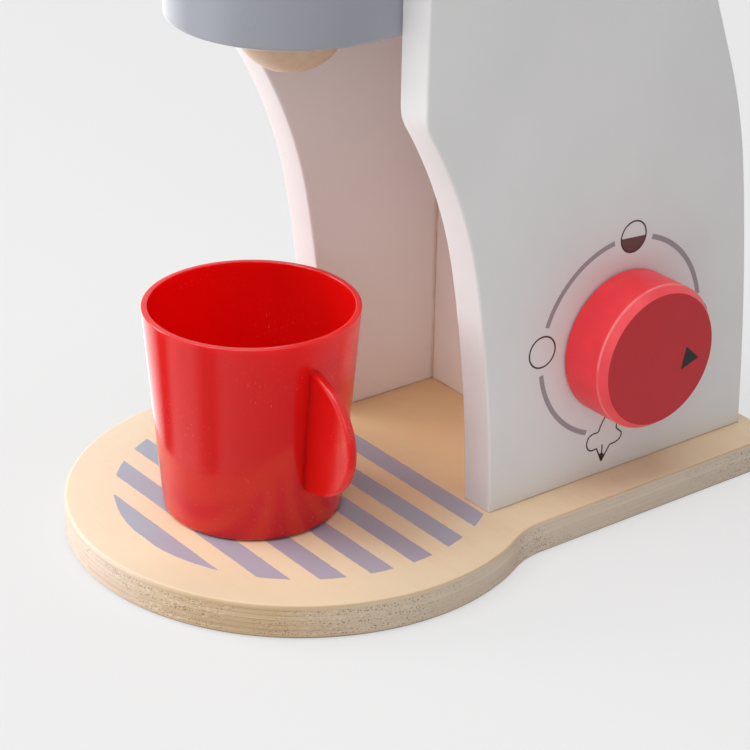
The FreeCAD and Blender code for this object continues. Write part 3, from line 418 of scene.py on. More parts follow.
class Nodes:
    """Short calls that lay down and join the nodes of one material or node group."""

    def __init__(self, tree):
        self.tree = tree

    def feed(self, socket, value):
        """Join a socket to another, or set its own value."""
        if isinstance(value, bpy.types.NodeSocket):
            self.tree.links.new(value, socket)
        elif value is not None:
            socket.default_value = value

    def add(self, kind, settings=None, **values):
        """A node, its settings, and its inputs by name."""
        node = self.tree.nodes.new(kind if kind.startswith("NodeGroup") else "ShaderNode" + kind)
        for key, value in (settings or {}).items():
            setattr(node, key, value)
        for key, value in values.items():
            self.feed(node.inputs[key.replace("_", " ")], value)
        return node

    def maths(self, operation, *values, clamp=False):
        """One step of arithmetic."""
        node = self.add("Math", {"operation": operation, "use_clamp": clamp})
        for socket, value in zip(node.inputs, values):
            self.feed(socket, value)
        return node.outputs[0]

    def plus(self, first, second):
        """A sum."""
        return self.maths("ADD", first, second)

    def minus(self, first, second):
        """A difference."""
        return self.maths("SUBTRACT", first, second)

    def times(self, *values):
        """A product of two or more."""
        return functools.reduce(lambda first, second: self.maths("MULTIPLY", first, second), values)

    def below(self, first, second):
        """1 where the first is less than the second, else 0."""
        return self.maths("LESS_THAN", first, second)

    def vector(self, operation, *values):
        """One step of vector arithmetic."""
        node = self.add("VectorMath", {"operation": operation})
        for socket, value in zip(node.inputs, values):
            self.feed(socket, value)
        return node.outputs[1] if operation in ("LENGTH", "DOT_PRODUCT") else node.outputs[0]

    def mix(self, share, first, second, blend="MIX"):
        """One colour over another."""
        node = self.add("Mix", {"data_type": "RGBA", "blend_type": blend})
        for index, value in ((0, share), (6, first), (7, second)):
            self.feed(node.inputs[index], value)
        return node.outputs[2]

    def blend(self, share, first, second):
        """One shader over another."""
        node = self.add("MixShader")
        for socket, value in zip(node.inputs, (share, first, second)):
            self.feed(socket, value)
        return node.outputs[0]

    def fit(self, value, low, high, to_low=0.0, to_high=1.0, smooth=False):
        """A value from one range to another, kept inside it."""
        node = self.add("MapRange", {"interpolation_type": "SMOOTHSTEP" if smooth else "LINEAR"})
        for socket, number in zip(node.inputs, (value, low, high, to_low, to_high)):
            self.feed(socket, number)
        return node.outputs[0]

    def noise(self, place, scale, detail=2.0, rough=0.5):
        """Cloudy noise around a half."""
        return self.add("TexNoise", None, Vector=place, Scale=scale, Detail=detail, Roughness=rough).outputs[0]

    def parts(self, place):
        """The x, y and z of a vector."""
        return self.add("SeparateXYZ", None, Vector=place).outputs

    def reach(self, *sides):
        """The length of the vector with two or three given parts."""
        return self.vector("LENGTH", self.add("CombineXYZ", None, **dict(zip("XYZ", (*sides, 0.0)))).outputs[0])

    def normal(self):
        """The x, y and z of the face's own direction."""
        return self.parts(self.add("NewGeometry").outputs["Normal"])

    def paint(self, shader, tone, rough, height, distance):
        """Feed a shader its colour, its roughness, and a normal from a height, whose full range stands out
        by a distance in metres."""
        self.feed(shader.inputs["Base Color"], tone)
        self.feed(shader.inputs["Roughness"], rough)
        bump = self.add("Bump", None, Height=height, Distance=distance, Strength=1.0)
        self.feed(shader.inputs["Normal"], bump.outputs[0])


def new_group(name, inputs, outputs):
    """A node group with named sockets: its nodes, its inputs and its output node."""
    group = bpy.data.node_groups.new(name, "ShaderNodeTree")
    kinds = {"value": "NodeSocketFloat", "colour": "NodeSocketColor", "vector": "NodeSocketVector"}
    for way, sockets in (("INPUT", inputs), ("OUTPUT", outputs)):
        for label, kind in sockets.items():
            group.interface.new_socket(label, in_out=way, socket_type=kinds[kind])
    nodes = Nodes(group)
    return group, nodes, nodes.add("NodeGroupInput").outputs, nodes.add("NodeGroupOutput").inputs


def colour(red, green, blue):
    """A colour written as it shows, 0 to 255, turned into the linear one that a shader takes."""
    shown = np.array([red, green, blue]) / 255
    linear = np.where(shown <= 0.04045, shown / 12.92, ((shown + 0.055) / 1.055) ** 2.4)
    return (*linear.tolist(), 1.0)


def paint_film_group():
    """Sprayed paint on board: slow mottling, fine orange peel and rare pinholes with their dust."""
    group, n, given, made = new_group("paint_film", {"Place": "vector", "Specks": "value"},
                                      {"Mottle": "value", "Specks": "value", "Height": "value"})
    place = given["Place"]
    n.feed(made["Mottle"], n.noise(place, 22.0, 3.0, 0.55))
    cells = n.add("TexVoronoi", {"feature": "F1"}, Vector=place, Scale=55.0)
    size = n.fit(n.parts(cells.outputs["Color"])[0], 0.86, 1.0, 0.0, 0.028)
    speck = n.maths("MULTIPLY", n.below(cells.outputs["Distance"], size), given["Specks"], clamp=True)
    n.feed(made["Specks"], speck)
    peel = n.times(n.noise(place, 900.0, 2.0, 0.6), 0.5)
    wave = n.plus(peel, n.times(n.noise(place, 160.0, 2.0, 0.5), 0.5))
    n.feed(made["Height"], n.minus(wave, n.times(speck, 0.6)))
    return group


def edge_wear_group():
    """Where a rim is rubbed: its wear attribute, broken up by noise."""
    group, n, given, made = new_group("edge_wear", {"Place": "vector", "Amount": "value"}, {"Rubbed": "value"})
    rim = n.add("Attribute", {"attribute_name": "worn"}).outputs["Fac"]
    ragged = n.fit(n.noise(given["Place"], 260.0, 4.0, 0.65), 0.42, 0.66)
    n.feed(made["Rubbed"], n.maths("MULTIPLY", n.times(rim, ragged), given["Amount"], clamp=True))
    return group


def wood_grain_group():
    """Fine wood: streaks and pores drawn out along the direction in which Stretch is small."""
    group, n, given, made = new_group(
        "wood_grain", {"Place": "vector", "Stretch": "vector"},
        {"Streaks": "value", "Pores": "value", "Clouds": "value", "Height": "value"})
    drawn = n.vector("MULTIPLY", given["Place"], given["Stretch"])
    bend = n.vector("MULTIPLY", n.add("TexNoise", None, Vector=given["Place"], Scale=14.0).outputs["Color"],
                    (0.9, 0.9, 0.9))
    drawn = n.vector("ADD", drawn, bend)
    streaks = n.noise(drawn, 1.0, 5.0, 0.62)
    fine = n.noise(drawn, 6.0, 2.0, 0.5)
    pores = n.fit(fine, 0.66, 0.72)
    n.feed(made["Streaks"], streaks)
    n.feed(made["Pores"], pores)
    n.feed(made["Clouds"], n.noise(given["Place"], 30.0, 3.0, 0.5))
    n.feed(made["Height"], n.minus(n.times(streaks, 0.6), n.times(pores, 0.4)))
    return group


def new_finish(slot, **plain):
    """A material with its shader; what is plain all over is set on the shader itself."""
    material = bpy.data.materials.new(slot)
    material.use_nodes = True
    n = Nodes(material.node_tree)
    shader = material.node_tree.nodes["Principled BSDF"]
    for key, value in plain.items():
        shader.inputs[key.replace("_", " ")].default_value = value
    place = n.add("TexCoord").outputs["Object"]
    return material, n, shader, place


def use(n, group, **values):
    """Place a node group and set its inputs."""
    return n.add("Group", {"node_tree": group}, **values).outputs


def bay_painted_light_and_lines(n, place, tone):
    """Paint with painted light and shade: the warm cast of bounce light in the shaded bay, the pinker
    painted reflection of the mug on the left panel's front edge, and brownish lines at a board's foot and
    at the bay's rear corners, where the wall meets the panels."""
    x, y, z = n.parts(place)
    side = n.maths("ABSOLUTE", x)
    beside, behind, above = n.minus(side, GAP_HALF * MM), n.minus(y, WALL_FRONT * MM), n.minus(z, BASE_TOP * MM)
    # painted shade: inside the bay the paint is warmer and pinker, standing in for bounce light from the wood
    # and the mug
    inner = n.times(n.fit(beside, 0.0005, 0.0002), n.fit(y, 0.004, 0.01), n.fit(behind, 0.0006, 0.0003))
    warm = n.mix(n.fit(behind, -0.0004, -0.0001), colour(239, 229, 226), colour(248, 239, 236))
    tone = n.mix(inner, tone, warm)
    # painted reflection: the left panel's front edge is pinker, standing in for red light from the mug
    front = n.times(n.fit(n.normal()[1], -0.3, -0.8), n.fit(x, -0.0319, -0.0325))
    tone = n.mix(front, tone, colour(227, 217, 217))
    # brownish lines, broken up by noise, in the bay's rear corners and along a board's foot
    broken = n.fit(n.noise(place, 70.0, 3.0, 0.6), 0.36, 0.6, 0.35, 1.0)
    crease = n.fit(n.reach(beside, behind), 0.0011, 0.0002, 0.0, 0.5)
    tone = n.mix(n.times(crease, broken), tone, colour(206, 164, 108))
    foot = n.fit(above, 0.0006, 0.0001, 0.0, 0.65)
    return n.mix(n.times(foot, broken), tone, colour(168, 116, 76))


def painted(slot, base, shade, speck, bare, rough=0.42, specks=1.0, wear=0.08, bay=False):
    """Painted board or wood: base and shade colours mottled, pale pinholes, and wood at rubbed rims. With
    bay, also the bay's painted light and shade, and its brownish lines.
    """
    material, n, shader, place = new_finish(slot, Specular_IOR_Level=0.45)
    film = use(n, PAINT_FILM, Place=place, Specks=specks)
    rubbed = use(n, EDGE_WEAR, Place=place, Amount=wear)["Rubbed"]
    tone = n.mix(n.fit(film["Mottle"], 0.35, 0.65), base, shade)
    tone = n.mix(film["Specks"], tone, speck)
    tone = n.mix(rubbed, tone, bare)
    n.paint(shader, bay_painted_light_and_lines(n, place, tone) if bay else tone,
            n.fit(film["Mottle"], 0.3, 0.7, rough - 0.05, rough + 0.06), film["Height"], 0.00004)
    return material


def plywood_finish():
    """Birch plywood: a pale veneer with printed stripes on top, and a cut edge that shows its layers."""
    material, n, shader, place = new_finish("plywood", Specular_IOR_Level=0.4)
    x, y, z = n.parts(place)
    normal = n.normal()
    face = n.fit(n.maths("ABSOLUTE", normal[2]), 0.72, 0.9)
    # the light's own fall: paler towards the lit left of the disc, duller towards its near front
    lit = n.fit(n.vector("DOT_PRODUCT", place, (-0.61, -0.79, 0)), 0.02, 0.058, smooth=True)
    fore = n.fit(n.vector("DOT_PRODUCT", place, (0.79, -0.61, 0)), 0.03, 0.06, smooth=True)
    veneer = use(n, WOOD_GRAIN, Place=place, Stretch=(26.0, 420.0, 420.0))
    top = n.mix(n.fit(veneer["Streaks"], 0.3, 0.7), colour(229, 208, 176), colour(225, 201, 167))
    top = n.mix(n.fit(veneer["Clouds"], 0.35, 0.7, 0.0, 0.5), top, colour(241, 218, 184))
    # painted shade: the veneer is more orange between the panels, standing in for the shade and bounce light of
    # the bay
    between = n.times(n.fit(y, -0.03, 0.06, smooth=True),
                      n.fit(n.maths("ABSOLUTE", x), 0.046, 0.026, smooth=True))
    top = n.mix(n.times(between, 0.6), top, colour(230, 180, 120))
    top = n.mix(n.times(lit, 0.6), top, colour(231, 218, 194))
    top = n.mix(n.times(fore, 0.5), top, colour(209, 191, 162))
    top = n.mix(n.times(veneer["Pores"], 0.16), top, colour(196, 161, 116))
    # seven stripes along x on the top face, inside a circle, from the first one's front edge backwards
    every, wide, all_half, within_circle = 0.01254, 0.0064, 0.042, 0.0519
    ragged = n.times(n.minus(n.noise(place, 500.0, 2.0, 0.5), 0.5), 0.0004)
    back = n.plus(n.plus(y, 0.0511), ragged)
    stripe = n.below(n.maths("MODULO", n.plus(back, every * 4), every), wide)
    seven = n.below(n.maths("ABSOLUTE", n.minus(back, all_half)), all_half)
    reach = n.plus(n.reach(x, n.minus(y, 0.0005)), ragged)
    stripe = n.times(stripe, seven, n.below(reach, within_circle), n.maths("GREATER_THAN", z, 0.0094))
    ink = n.mix(n.fit(veneer["Clouds"], 0.38, 0.62), colour(158, 167, 183), colour(164, 157, 174))
    top = n.mix(n.times(stripe, 0.96), top, ink)
    # layers of the cut edge, 1.4 mm each, parted by thin glue lines, with more open pores in every other one
    wave = n.times(n.minus(n.noise(place, 38.0, 2.0, 0.5), 0.5), 0.0007)
    height = n.maths("DIVIDE", n.plus(z, wave), 0.0014)
    layer, depth = n.maths("FLOOR", height), n.maths("FRACT", height)
    odd = n.maths("ABSOLUTE", n.maths("MODULO", layer, 2.0))
    tint = n.add("TexWhiteNoise", {"noise_dimensions": "1D"}, W=layer).outputs["Value"]
    along = n.noise(n.vector("MULTIPLY", place, (60.0, 60.0, 4200.0)), 1.0, 4.0, 0.65)
    ends = n.add("TexVoronoi", {"feature": "F1"}, Scale=1250.0,
                 Vector=n.vector("MULTIPLY", place, (1.0, 1.0, 1.4)))
    patches = n.times(n.fit(n.noise(place, 42.0, 3.0, 0.6), 0.44, 0.56), n.fit(z, 0.0088, 0.0083))
    pores = n.times(n.fit(ends.outputs["Distance"], 0.36, 0.2), patches, n.fit(odd, 0.0, 1.0, 0.5, 1.0))
    edge = n.mix(tint, colour(224, 199, 167), colour(207, 180, 144))
    # painted light: the edge is paler towards the lit left of the disc
    edge = n.mix(n.times(lit, 0.7), edge, colour(232, 212, 194))
    edge = n.mix(n.fit(along, 0.36, 0.74, 0.0, 0.7), edge, colour(192, 162, 124))
    streak = n.fit(n.maths("ABSOLUTE", n.minus(height, 1.75)), 0.45, 0.1)
    streak = n.times(streak, n.fit(n.noise(place, 55.0, 2.0, 0.5), 0.42, 0.58))
    edge = n.mix(n.times(streak, 0.55), edge, colour(188, 146, 120))
    glue = n.times(n.fit(depth, 0.86, 0.97), n.fit(n.noise(place, 70.0, 2.0, 0.5), 0.36, 0.56, 0.35, 1.0))
    edge = n.mix(n.times(glue, 0.75), edge, colour(158, 128, 98))
    chips = n.fit(n.parts(ends.outputs["Color"])[1], 0.8, 0.95)
    edge = n.mix(n.times(chips, patches, 0.4), edge, colour(250, 236, 214))
    # painted light and shade: paler again towards the lit left, paler where the edge faces +x, and darker
    # towards the near front
    edge = n.mix(n.times(lit, 0.4), edge, colour(234, 218, 208))
    edge = n.mix(n.fit(normal[0], 0.75, 0.97, 0.0, 0.5), edge, colour(234, 226, 216))
    edge = n.mix(n.times(fore, 0.2), edge, colour(176, 144, 100))
    edge = n.mix(n.times(pores, 0.8), edge, colour(132, 104, 76))
    # painted shadow: the lowest 0.8 mm of the edge is darker, where it meets the floor
    edge = n.mix(n.times(n.fit(z, 0.0008, 0.0004), 0.75), edge, colour(110, 84, 66))
    rise = n.minus(n.times(along, 0.5), n.plus(n.times(pores, 0.8), n.times(glue, 0.3)))
    relief = n.add("Mix", {"data_type": "FLOAT"})
    for index, value in ((0, face), (2, rise), (3, n.times(veneer["Height"], 0.2))):
        n.feed(relief.inputs[index], value)
    rough = n.minus(n.fit(face, 0.0, 1.0, 0.72, 0.45), n.times(stripe, face, 0.05))
    n.paint(shader, n.mix(face, edge, top), rough, relief.outputs[0], 0.00012)
    return material


def turned_wood_finish(slot, light, dark, pore, stretch):
    """Bare wood under clear lacquer, its grain along one direction."""
    material, n, shader, place = new_finish(slot, Specular_IOR_Level=0.4)
    grain = use(n, WOOD_GRAIN, Place=place, Stretch=stretch)
    tone = n.mix(n.fit(grain["Streaks"], 0.2, 0.8), light, dark)
    tone = n.mix(n.times(grain["Pores"], 0.35), tone, pore)
    n.paint(shader, tone, n.fit(grain["Clouds"], 0.3, 0.7, 0.42, 0.55), grain["Height"], 0.00003)
    return material


def knob_finish():
    """Red paint on turned wood: on the side knob fine rings left by the lathe on its face, a face painted
    darker as shade, a bevel painted paler as light, and a painted highlight line where the bevel meets the
    side."""
    material, n, shader, place = new_finish("red_wood", Specular_IOR_Level=0.5)
    film = use(n, PAINT_FILM, Place=place, Specks=1.0)
    x, y, z = n.parts(place)
    reach = n.reach(n.minus(y, KNOB_AXIS[0] * MM), n.minus(z, KNOB_AXIS[1] * MM))
    turned = n.add("CombineXYZ", None, X=n.times(reach, 2600.0), Y=x, Z=0.0).outputs[0]
    rings = n.noise(turned, 1.0, 3.0, 0.6)
    faint = n.times(rings, n.fit(n.noise(place, 120.0, 2.0, 0.5), 0.35, 0.65, 0.4, 1.0))
    outwards = n.normal()[0]
    # painted light and shade by the way a surface faces: paler where it turns towards +x, as on the knob's
    # bevel and one side of the lid's ball, and darker on the knob's flat face
    face, bevel = n.fit(outwards, 0.93, 0.99), n.fit(outwards, 0.35, 0.55, 0.0, 0.4)
    side = n.mix(n.fit(film["Mottle"], 0.35, 0.65), colour(252, 56, 68), colour(248, 51, 63))
    side = n.mix(bevel, side, colour(255, 96, 104))
    tone = n.mix(n.times(face, n.below(reach, 0.0192)), side, colour(198, 20, 33))
    tone = n.mix(n.fit(faint, 0.2, 0.7, 0.0, 0.3), tone, colour(184, 24, 36))
    tone = n.mix(film["Specks"], tone, colour(240, 150, 140))
    # painted highlight: a pale line where the bevel meets the side, broken up by noise
    to_rim = n.reach(n.minus(x, (KNOB_BACK + KNOB_SIDE) * MM), n.minus(reach, KNOB_RADIUS * MM))
    line = n.fit(to_rim, 0.0005, 0.0002, 0.0, 0.75)
    line = n.times(line, n.fit(n.noise(place, 150.0, 2.0, 0.5), 0.35, 0.55, 0.3, 1.0))
    tone = n.mix(line, tone, colour(255, 140, 140))
    height = n.plus(film["Height"], n.times(rings, 0.6))
    n.paint(shader, tone, n.fit(film["Mottle"], 0.3, 0.7, 0.36, 0.46), height, 0.00004)
    return material


def mug_finish():
    """Glossy moulded plastic with faint flow marks and a dusting of fine scratches."""
    material, n, shader, place = new_finish("red_plastic", Specular_IOR_Level=0.52, Subsurface_Weight=1.0,
                                            Subsurface_Scale=0.007, Subsurface_Radius=(1.0, 0.1, 0.06))
    flow = n.noise(n.vector("MULTIPLY", place, (1.0, 1.0, 0.3)), 60.0, 3.0, 0.5)
    dust = n.fit(n.noise(n.vector("MULTIPLY", place, (1.0, 1.0, 0.35)), 2800.0, 2.0, 0.6), 0.63, 0.74)
    dust = n.times(dust, n.fit(n.noise(place, 40.0, 2.0, 0.5), 0.4, 0.58))
    tone = n.mix(n.fit(flow, 0.35, 0.65), colour(214, 14, 12), colour(209, 11, 9))
    tone = n.mix(n.times(dust, 0.28), tone, colour(236, 130, 130))
    faint = n.times(dust, 0.2)
    n.paint(shader, tone, n.plus(n.fit(flow, 0.3, 0.7, 0.1, 0.14), faint), n.plus(flow, faint), 0.00003)
    return material


def steel_finish():
    """Zinc-plated steel with fine drawn lines."""
    material, n, shader, place = new_finish("steel", Metallic=1.0)
    lines = n.noise(n.vector("MULTIPLY", place, (900.0, 900.0, 5000.0)), 1.0, 3.0, 0.6)
    n.paint(shader, n.mix(lines, colour(190, 190, 192), colour(158, 158, 162)),
            n.fit(lines, 0.3, 0.7, 0.26, 0.4), lines, 0.00002)
    return material


def felt_finish():
    """Pressed felt: tangled short fibres."""
    material, n, shader, place = new_finish("felt", Sheen_Weight=0.4, Sheen_Roughness=0.5)
    fibres = n.add("TexVoronoi", {"feature": "SMOOTH_F1"}, Vector=place, Scale=2600.0).outputs["Distance"]
    n.paint(shader, n.mix(fibres, colour(74, 74, 80), colour(52, 52, 58)),
            n.fit(fibres, 0.0, 1.0, 0.85, 0.98), fibres, 0.0002)
    return material


def print_finish(slot, tone, thin):
    """Screen-printed ink: a little uneven, thinner here and there."""
    material, n, shader, place = new_finish(slot, Specular_IOR_Level=0.4)
    uneven = n.fit(n.noise(place, 1400.0, 3.0, 0.6), 0.35, 0.7)
    n.paint(shader, n.mix(n.times(uneven, 0.3), tone, thin), n.fit(uneven, 0.0, 1.0, 0.4, 0.5), uneven, 0.00001)
    return material


PAINT_FILM = paint_film_group()
EDGE_WEAR = edge_wear_group()
WOOD_GRAIN = wood_grain_group()
WHITE = (colour(232, 231, 231), colour(228, 227, 227), colour(150, 145, 140), colour(214, 196, 176))
FINISH = {
    "plywood": plywood_finish(),
    "white_board": painted("white_board", *WHITE, bay=True),
    "printed_board": painted("printed_board", *WHITE, bay=True),
    "grey_board": painted("grey_board", colour(160, 161, 170), colour(155, 157, 167), colour(203, 204, 208),
                          colour(204, 186, 154), rough=0.24, specks=0.0, wear=0.1),
    "turned_wood": turned_wood_finish("turned_wood", colour(212, 186, 161), colour(195, 164, 133),
                                      colour(157, 121, 89), (30.0, 420.0, 420.0)),
    "dowel_wood": turned_wood_finish("dowel_wood", colour(222, 194, 156), colour(206, 174, 132),
                                     colour(170, 134, 92), (30.0, 500.0, 500.0)),
    "red_wood": knob_finish(),
    "red_plastic": mug_finish(),
    "steel": steel_finish(),
    "nylon": painted("nylon", colour(222, 218, 208), colour(216, 212, 200), colour(200, 196, 186),
                     colour(222, 218, 208), rough=0.5, specks=0.0, wear=0.0),
    "felt": felt_finish(),
}
RING_INK = print_finish("ring_ink", colour(158, 150, 156), colour(172, 165, 170))
LINE_INK = print_finish("line_ink", colour(76, 56, 56), colour(90, 68, 66))
FILL_INK = print_finish("fill_ink", colour(104, 62, 60), colour(116, 74, 70))
POINTER_INK = print_finish("pointer_ink", colour(30, 27, 29), colour(40, 36, 38))


def make_boards():
    """The base, the two panels, the back wall, the rear cover, the head and the lid."""
    bores = [(spot, [*SCREW_SINK, (SCREW_SINK[-1][0], BASE_TOP)]) for spot in SCREW_PLACES]
    points, faces, wear = board(base_outline(), 0, BASE_TOP, 1.1, "flat", bores)
    piece("base", points, faces, "maker", "plywood", ["base_board"], wear)
    outline, soft = panel_outline()
    for name, low, high, slot in (("panel_left", -PANEL_FACE, -GAP_HALF, "white_board"),
                                  ("panel_right", GAP_HALF, PANEL_FACE, "printed_board")):
        points, faces, wear = board(outline, low, high, 0.8, "side", soft=soft)
        piece(name, points, faces, "maker", slot, ["side_" + name], wear)
    wall = rounded([(WALL_FRONT, BASE_TOP), (WALL_FRONT + BOARD, BASE_TOP), (WALL_FRONT + BOARD, WALL_TOP),
                    (WALL_FRONT, WALL_TOP)], (0.05, 0.05, 0.8, 0.8))
    points, faces, wear = board(wall, -GAP_HALF, GAP_HALF, 0.5, "side")
    piece("wall", points, faces, "maker", "white_board", ["back_wall"], wear)
    outer, inner = rear_run(3), rear_run(8)
    cover = joined(outer, [(57.5, outer[-1, 1]), (57.5, inner[-1, 1])], inner[::-1])
    points, faces, wear = board(cover, -GAP_HALF, GAP_HALF, 0.5, "side")
    piece("cover", points, faces, "maker", "white_board", ["rear_cover"], wear)
    nose = sweep((0, HEAD_CENTRE), GAP_HALF, 180, 360, 0.8)
    plan = joined(nose, [(GAP_HALF, WALL_FRONT), (-GAP_HALF, WALL_FRONT)])
    well = [(18.4, 163), (18.85, 163.15), (19, 163.6), (19, 189.3), (19.2, 189.8), (19.7, HEAD_TOP)]
    points, faces, wear = board(plan, HEAD_LOW, HEAD_TOP, 1.0, "flat", [((0, HEAD_CENTRE), well)])
    piece("head", points, faces, "maker", "grey_board", ["brew_head"], wear)
    points, faces, wear = lid_shell()
    piece("lid_slab", points, faces, "lid", "grey_board", ["lid"], wear)


def make_turned_pieces():
    """The nozzle, the lid's ball, the side knob and the mug's cup, each a profile carried round its axis."""
    low = -14.2
    bowl = math.degrees(math.asin(low / 16))
    arc = sweep((0, 0), 16, bowl, 0, 0.5)
    flat_end = rounded([(0, low), arc[0], arc[2]], (0, 0.7, 0), 7, closed=False)[:-1]
    profile = np.concatenate([flat_end, arc[2:], [(0, 0)]])
    points, faces = spun(profile * (0.965, 1), (0, HEAD_CENTRE, NOZZLE_LEVEL))
    piece("nozzle_ball", points, faces, "maker", "turned_wood", ["nozzle"])
    rise = math.sqrt(11 ** 2 - 6.5 ** 2)
    ball = sweep((0, rise), 11, -math.degrees(math.asin(rise / 11)), 90, 0.5)
    points, faces = spun(np.concatenate([[(0, 0)], ball]), (0, LID_BALL_AT, HEAD_TOP + 13.3))
    piece("lid_ball", points, faces, "lid", "red_wood", ["lid_knob"])
    corners = [(0, 1.1), (14, 1.1), (14, 0), (KNOB_RADIUS, 0), (KNOB_RADIUS, KNOB_SIDE),
               (KNOB_RADIUS - 1.8, KNOB_HIGH), (0, KNOB_HIGH)]
    profile = rounded(corners, (0, 0.1, 0.3, 0.6, 0.3, 0.2, 0), 7, closed=False)
    points, faces = spun(profile, (KNOB_BACK, *KNOB_AXIS), "X", 224)
    piece("knob_turned", points, faces, "knob", "red_wood", ["knob"])
    floor = 2.6
    inside = MUG_FOOT + (MUG_RIM - MUG_FOOT) * floor / MUG_TALL - 1.6
    corners = [(0, 0.8), (MUG_FOOT - 3.5, 0.8), (MUG_FOOT - 3.5, 0), (MUG_FOOT, 0), (MUG_RIM + 0.15, MUG_TALL),
               (MUG_RIM - 1.55, MUG_TALL), (inside, floor), (0, floor)]
    profile = rounded(corners, (0, 0.3, 0.3, 1.4, 0.35, 0.3, 1.4, 0), 9, closed=False)
    points, faces = spun(profile, (*MUG_CENTRE, MUG_LOW), steps=224)
    piece("mug_cup", points, faces, "mug", "red_plastic", ["mug"])
    points, faces = handle_leaf()
    piece("mug_handle", points, faces, "mug", "red_plastic", sharp=60)


def print_piece(name, points, faces, body, ink, slot):
    """A printed mark, which is a hair of ink on a painted face."""
    piece(name, points, faces, body, slot).data.materials[0] = ink


def make_prints():
    """The dial on the right panel and the pointer on the knob's face."""
    arcs = [ribbon(sweep(DIAL_CENTRE, DIAL_RADIUS, start, end, 0.6), 1.45, False)
            for start, end in ((71.1, 10.8), (160.6, 98.8), (247.7, 188.5), (349.0, 288.0))]
    print_piece("dial_ring", *together(*arcs), "maker", RING_INK, "printed_board")
    line = 0.47
    spots = [((79.2, 79.75), 4.5), ((48.3, 53.65), 4.5), ((104.85, 49.2), 4.5)]
    icons = [ribbon(sweep(spot, radius, 0, 360, 0.3)[:-1], line, True) for spot, radius in spots]
    cloud = closed_curve([(70.25, 18.0), (69.3, 17.9), (68.0, 18.0), (66.9, 18.9), (66.45, 20.4), (67.0, 22.2),
                          (68.6, 23.0), (70.5, 23.1), (71.2, 24.6), (72.4, 26.6), (74.0, 28.4), (76.6, 27.6),
                          (77.5, 25.2), (77.3, 22.6), (78.6, 21.3), (79.3, 20.4), (79.1, 19.3), (78.2, 18.4),
                          (76.7, 18.0), (75.15, 17.95)])[:-9]
    tip = np.array([72.25, 13.6])
    strokes = [cloud, *(np.linspace(root, tip, 8) for root in ((70.25, 18.0), (72.3, 18.7), (75.15, 17.95)))]
    icons += [ribbon(stroke, line * 0.95, False) for stroke in strokes]
    fills = [stamp(fill, PANEL_FACE) for fill in (sweep(spots[0][0], 4.4, 178.1, 353.4, 0.3),
                                                  [(71.2, 16.0), tip, (73.3, 15.4), (72.3, 16.2)])]
    print_piece("dial_icons", *together(*icons), "maker", LINE_INK, "printed_board")
    print_piece("dial_fills", *together(*fills), "maker", FILL_INK, "printed_board")
    corners = np.array([(9.54, 1.28), (14.28, -3.15), (7.93, -5.26)]) + KNOB_AXIS
    print_piece("pointer", *stamp(corners, KNOB_BACK + KNOB_HIGH), "knob", POINTER_INK, "red_wood")


def dress_cad_nodes():
    """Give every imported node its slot's finish."""
    slots = {row["node"]: row["material_slot"] for row in frame["record"]["subparts"]}
    for name, thing in frame["nodes"].items():
        thing.data.materials.clear()
        thing.data.materials.append(FINISH[slots[name]])


def make_floor():
    """A wide pale floor that shows the object's shadow faintly. To reflections it shows the cards, which are
    bands of brightness by the direction from the mug. Far away it fades into the sky's tone."""
    mesh, half = bpy.data.meshes.new("floor"), 4.0
    corners = [(-half, -half, 0), (half, -half, 0), (half, half, 0), (-half, half, 0)]
    mesh.from_pydata(corners, [], [(0, 1, 2, 3)])
    floor = placed("floor", mesh)
    floor.location.z = -0.0002
    material = bpy.data.materials.new("floor")
    material.use_nodes = True
    n = Nodes(material.node_tree)
    tree = material.node_tree
    shader = tree.nodes["Principled BSDF"]
    shader.inputs["Base Color"].default_value = colour(225, 225, 225)
    shader.inputs["Roughness"].default_value = 0.9
    path = n.add("LightPath").outputs
    place = n.add("TexCoord").outputs["Object"]
    x, y, _ = n.parts(place)
    x, y = n.minus(x, MUG_CENTRE[0] * MM), n.minus(y, MUG_CENTRE[1] * MM)
    cards = n.add("ValToRGB", None, Fac=n.fit(n.maths("ARCTAN2", y, x), -math.pi, math.pi))
    marks = cards.color_ramp.elements
    for at, level in CARDS[1:-1]:
        marks.new(at).color = (level, level, level, 1.0)
    for mark, (at, level) in ((marks[0], CARDS[0]), (marks[-1], CARDS[-1])):
        mark.position, mark.color = at, (level, level, level, 1.0)
    far = n.fit(n.vector("LENGTH", place), 0.35, 0.9, smooth=True)
    pale = n.mix(far, colour(236, 236, 236), colour(238, 238, 238))
    tone = n.mix(path["Is Glossy Ray"], pale, cards.outputs["Color"])
    bright = n.fit(path["Is Glossy Ray"], 0.0, 1.0, 1.0, CARD_GLOW)
    shown = n.add("Emission", None, Color=tone, Strength=bright).outputs[0]
    glow = n.times(path["Is Camera Ray"], n.fit(far, 0.0, 1.0, FLOOR_GLOW, 1.0))
    share = n.maths("MAXIMUM", glow, path["Is Glossy Ray"])
    n.feed(tree.nodes["Material Output"].inputs["Surface"], n.blend(share, shader.outputs[0], shown))
    floor.data.materials.append(material)


def make_sky(strength):
    """An even white sky that shows as the pale background."""
    world = bpy.data.worlds.new("sky")
    world.use_nodes = True
    bpy.context.scene.world = world
    n = Nodes(world.node_tree)
    light = world.node_tree.nodes["Background"]
    light.inputs["Color"].default_value = (1.0, 1.0, 1.0, 1.0)
    light.inputs["Strength"].default_value = strength
    seen = n.add("Background", None, Color=colour(238, 238, 238), Strength=1.0).outputs[0]
    path = n.add("LightPath").outputs
    share = n.maths("MAXIMUM", path["Is Camera Ray"], path["Is Glossy Ray"])
    n.feed(world.node_tree.nodes["World Output"].inputs["Surface"], n.blend(share, light.outputs[0], seen))


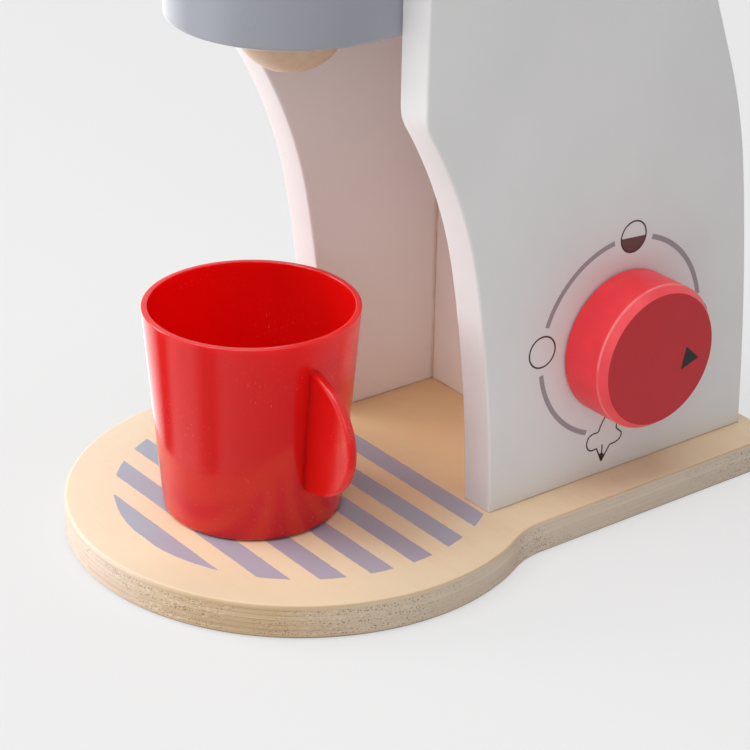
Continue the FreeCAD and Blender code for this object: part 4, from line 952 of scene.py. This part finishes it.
def set_down(thing, right, up, back, place):
    """Put a thing at a place with its own three axes along the given ones."""
    turn = np.eye(4)
    turn[:3] = np.stack([right, up, back, place], 1)
    thing.matrix_world = Matrix(turn.tolist())


def make_lamp(name, place, target, size, power):
    """A soft box at a place, turned to a target."""
    data = bpy.data.lights.new(name, "AREA")
    data.shape = "RECTANGLE"
    data.size, data.size_y = size
    data.energy = power
    back = np.array(place, float) - np.array(target, float)
    back /= np.linalg.norm(back)
    side = np.cross((0, 0, 1), back)
    side /= np.linalg.norm(side)
    set_down(placed(name, data), side, np.cross(back, side), back, place)


def make_camera():
    """The camera where the photograph was taken: azimuth, elevation and roll in degrees, and its place."""
    azimuth, elevation, roll = (math.radians(angle) for angle in (52.3317, 25.9066, 1.0250))
    back = np.array([math.sin(azimuth) * math.cos(elevation), -math.cos(azimuth) * math.cos(elevation),
                     math.sin(elevation)])
    right = np.array([math.cos(azimuth), math.sin(azimuth), 0.0])
    up = np.cross(back, right)
    data = bpy.data.cameras.new("camera")
    data.sensor_width = 36.0
    data.lens = 121.32
    data.clip_start = 0.01
    camera = placed("camera", data)
    set_down(camera, math.cos(roll) * right + math.sin(roll) * up, math.cos(roll) * up - math.sin(roll) * right,
             back, (0.49899, -0.36003, 0.34258))
    bpy.context.scene.camera = camera


make_boards()
make_turned_pieces()
make_prints()
dress_cad_nodes()
make_floor()
make_sky(0.28)
make_lamp("front_box", (-0.2, -0.9, 1.2), (0, 0.03, 0.09), (0.9, 0.7), 8.6)
make_lamp("left_box", (-1.0, -0.62, 0.55), (0, 0, 0.09), (0.5, 1.0), 7.6)
make_lamp("top_box", (0.15, -0.05, 1.4), (0, 0.03, 0.05), (1.0, 1.0), 7.5)
make_lamp("right_box", (0.9, -0.8, 0.7), (0, 0, 0.09), (0.8, 0.8), 2.6)
make_lamp("low_box", (-0.9, -0.9, 0.35), (0, 0, 0.09), (0.6, 0.6), 4.2)
make_camera()
bpy.context.scene.view_settings.view_transform = "Standard"
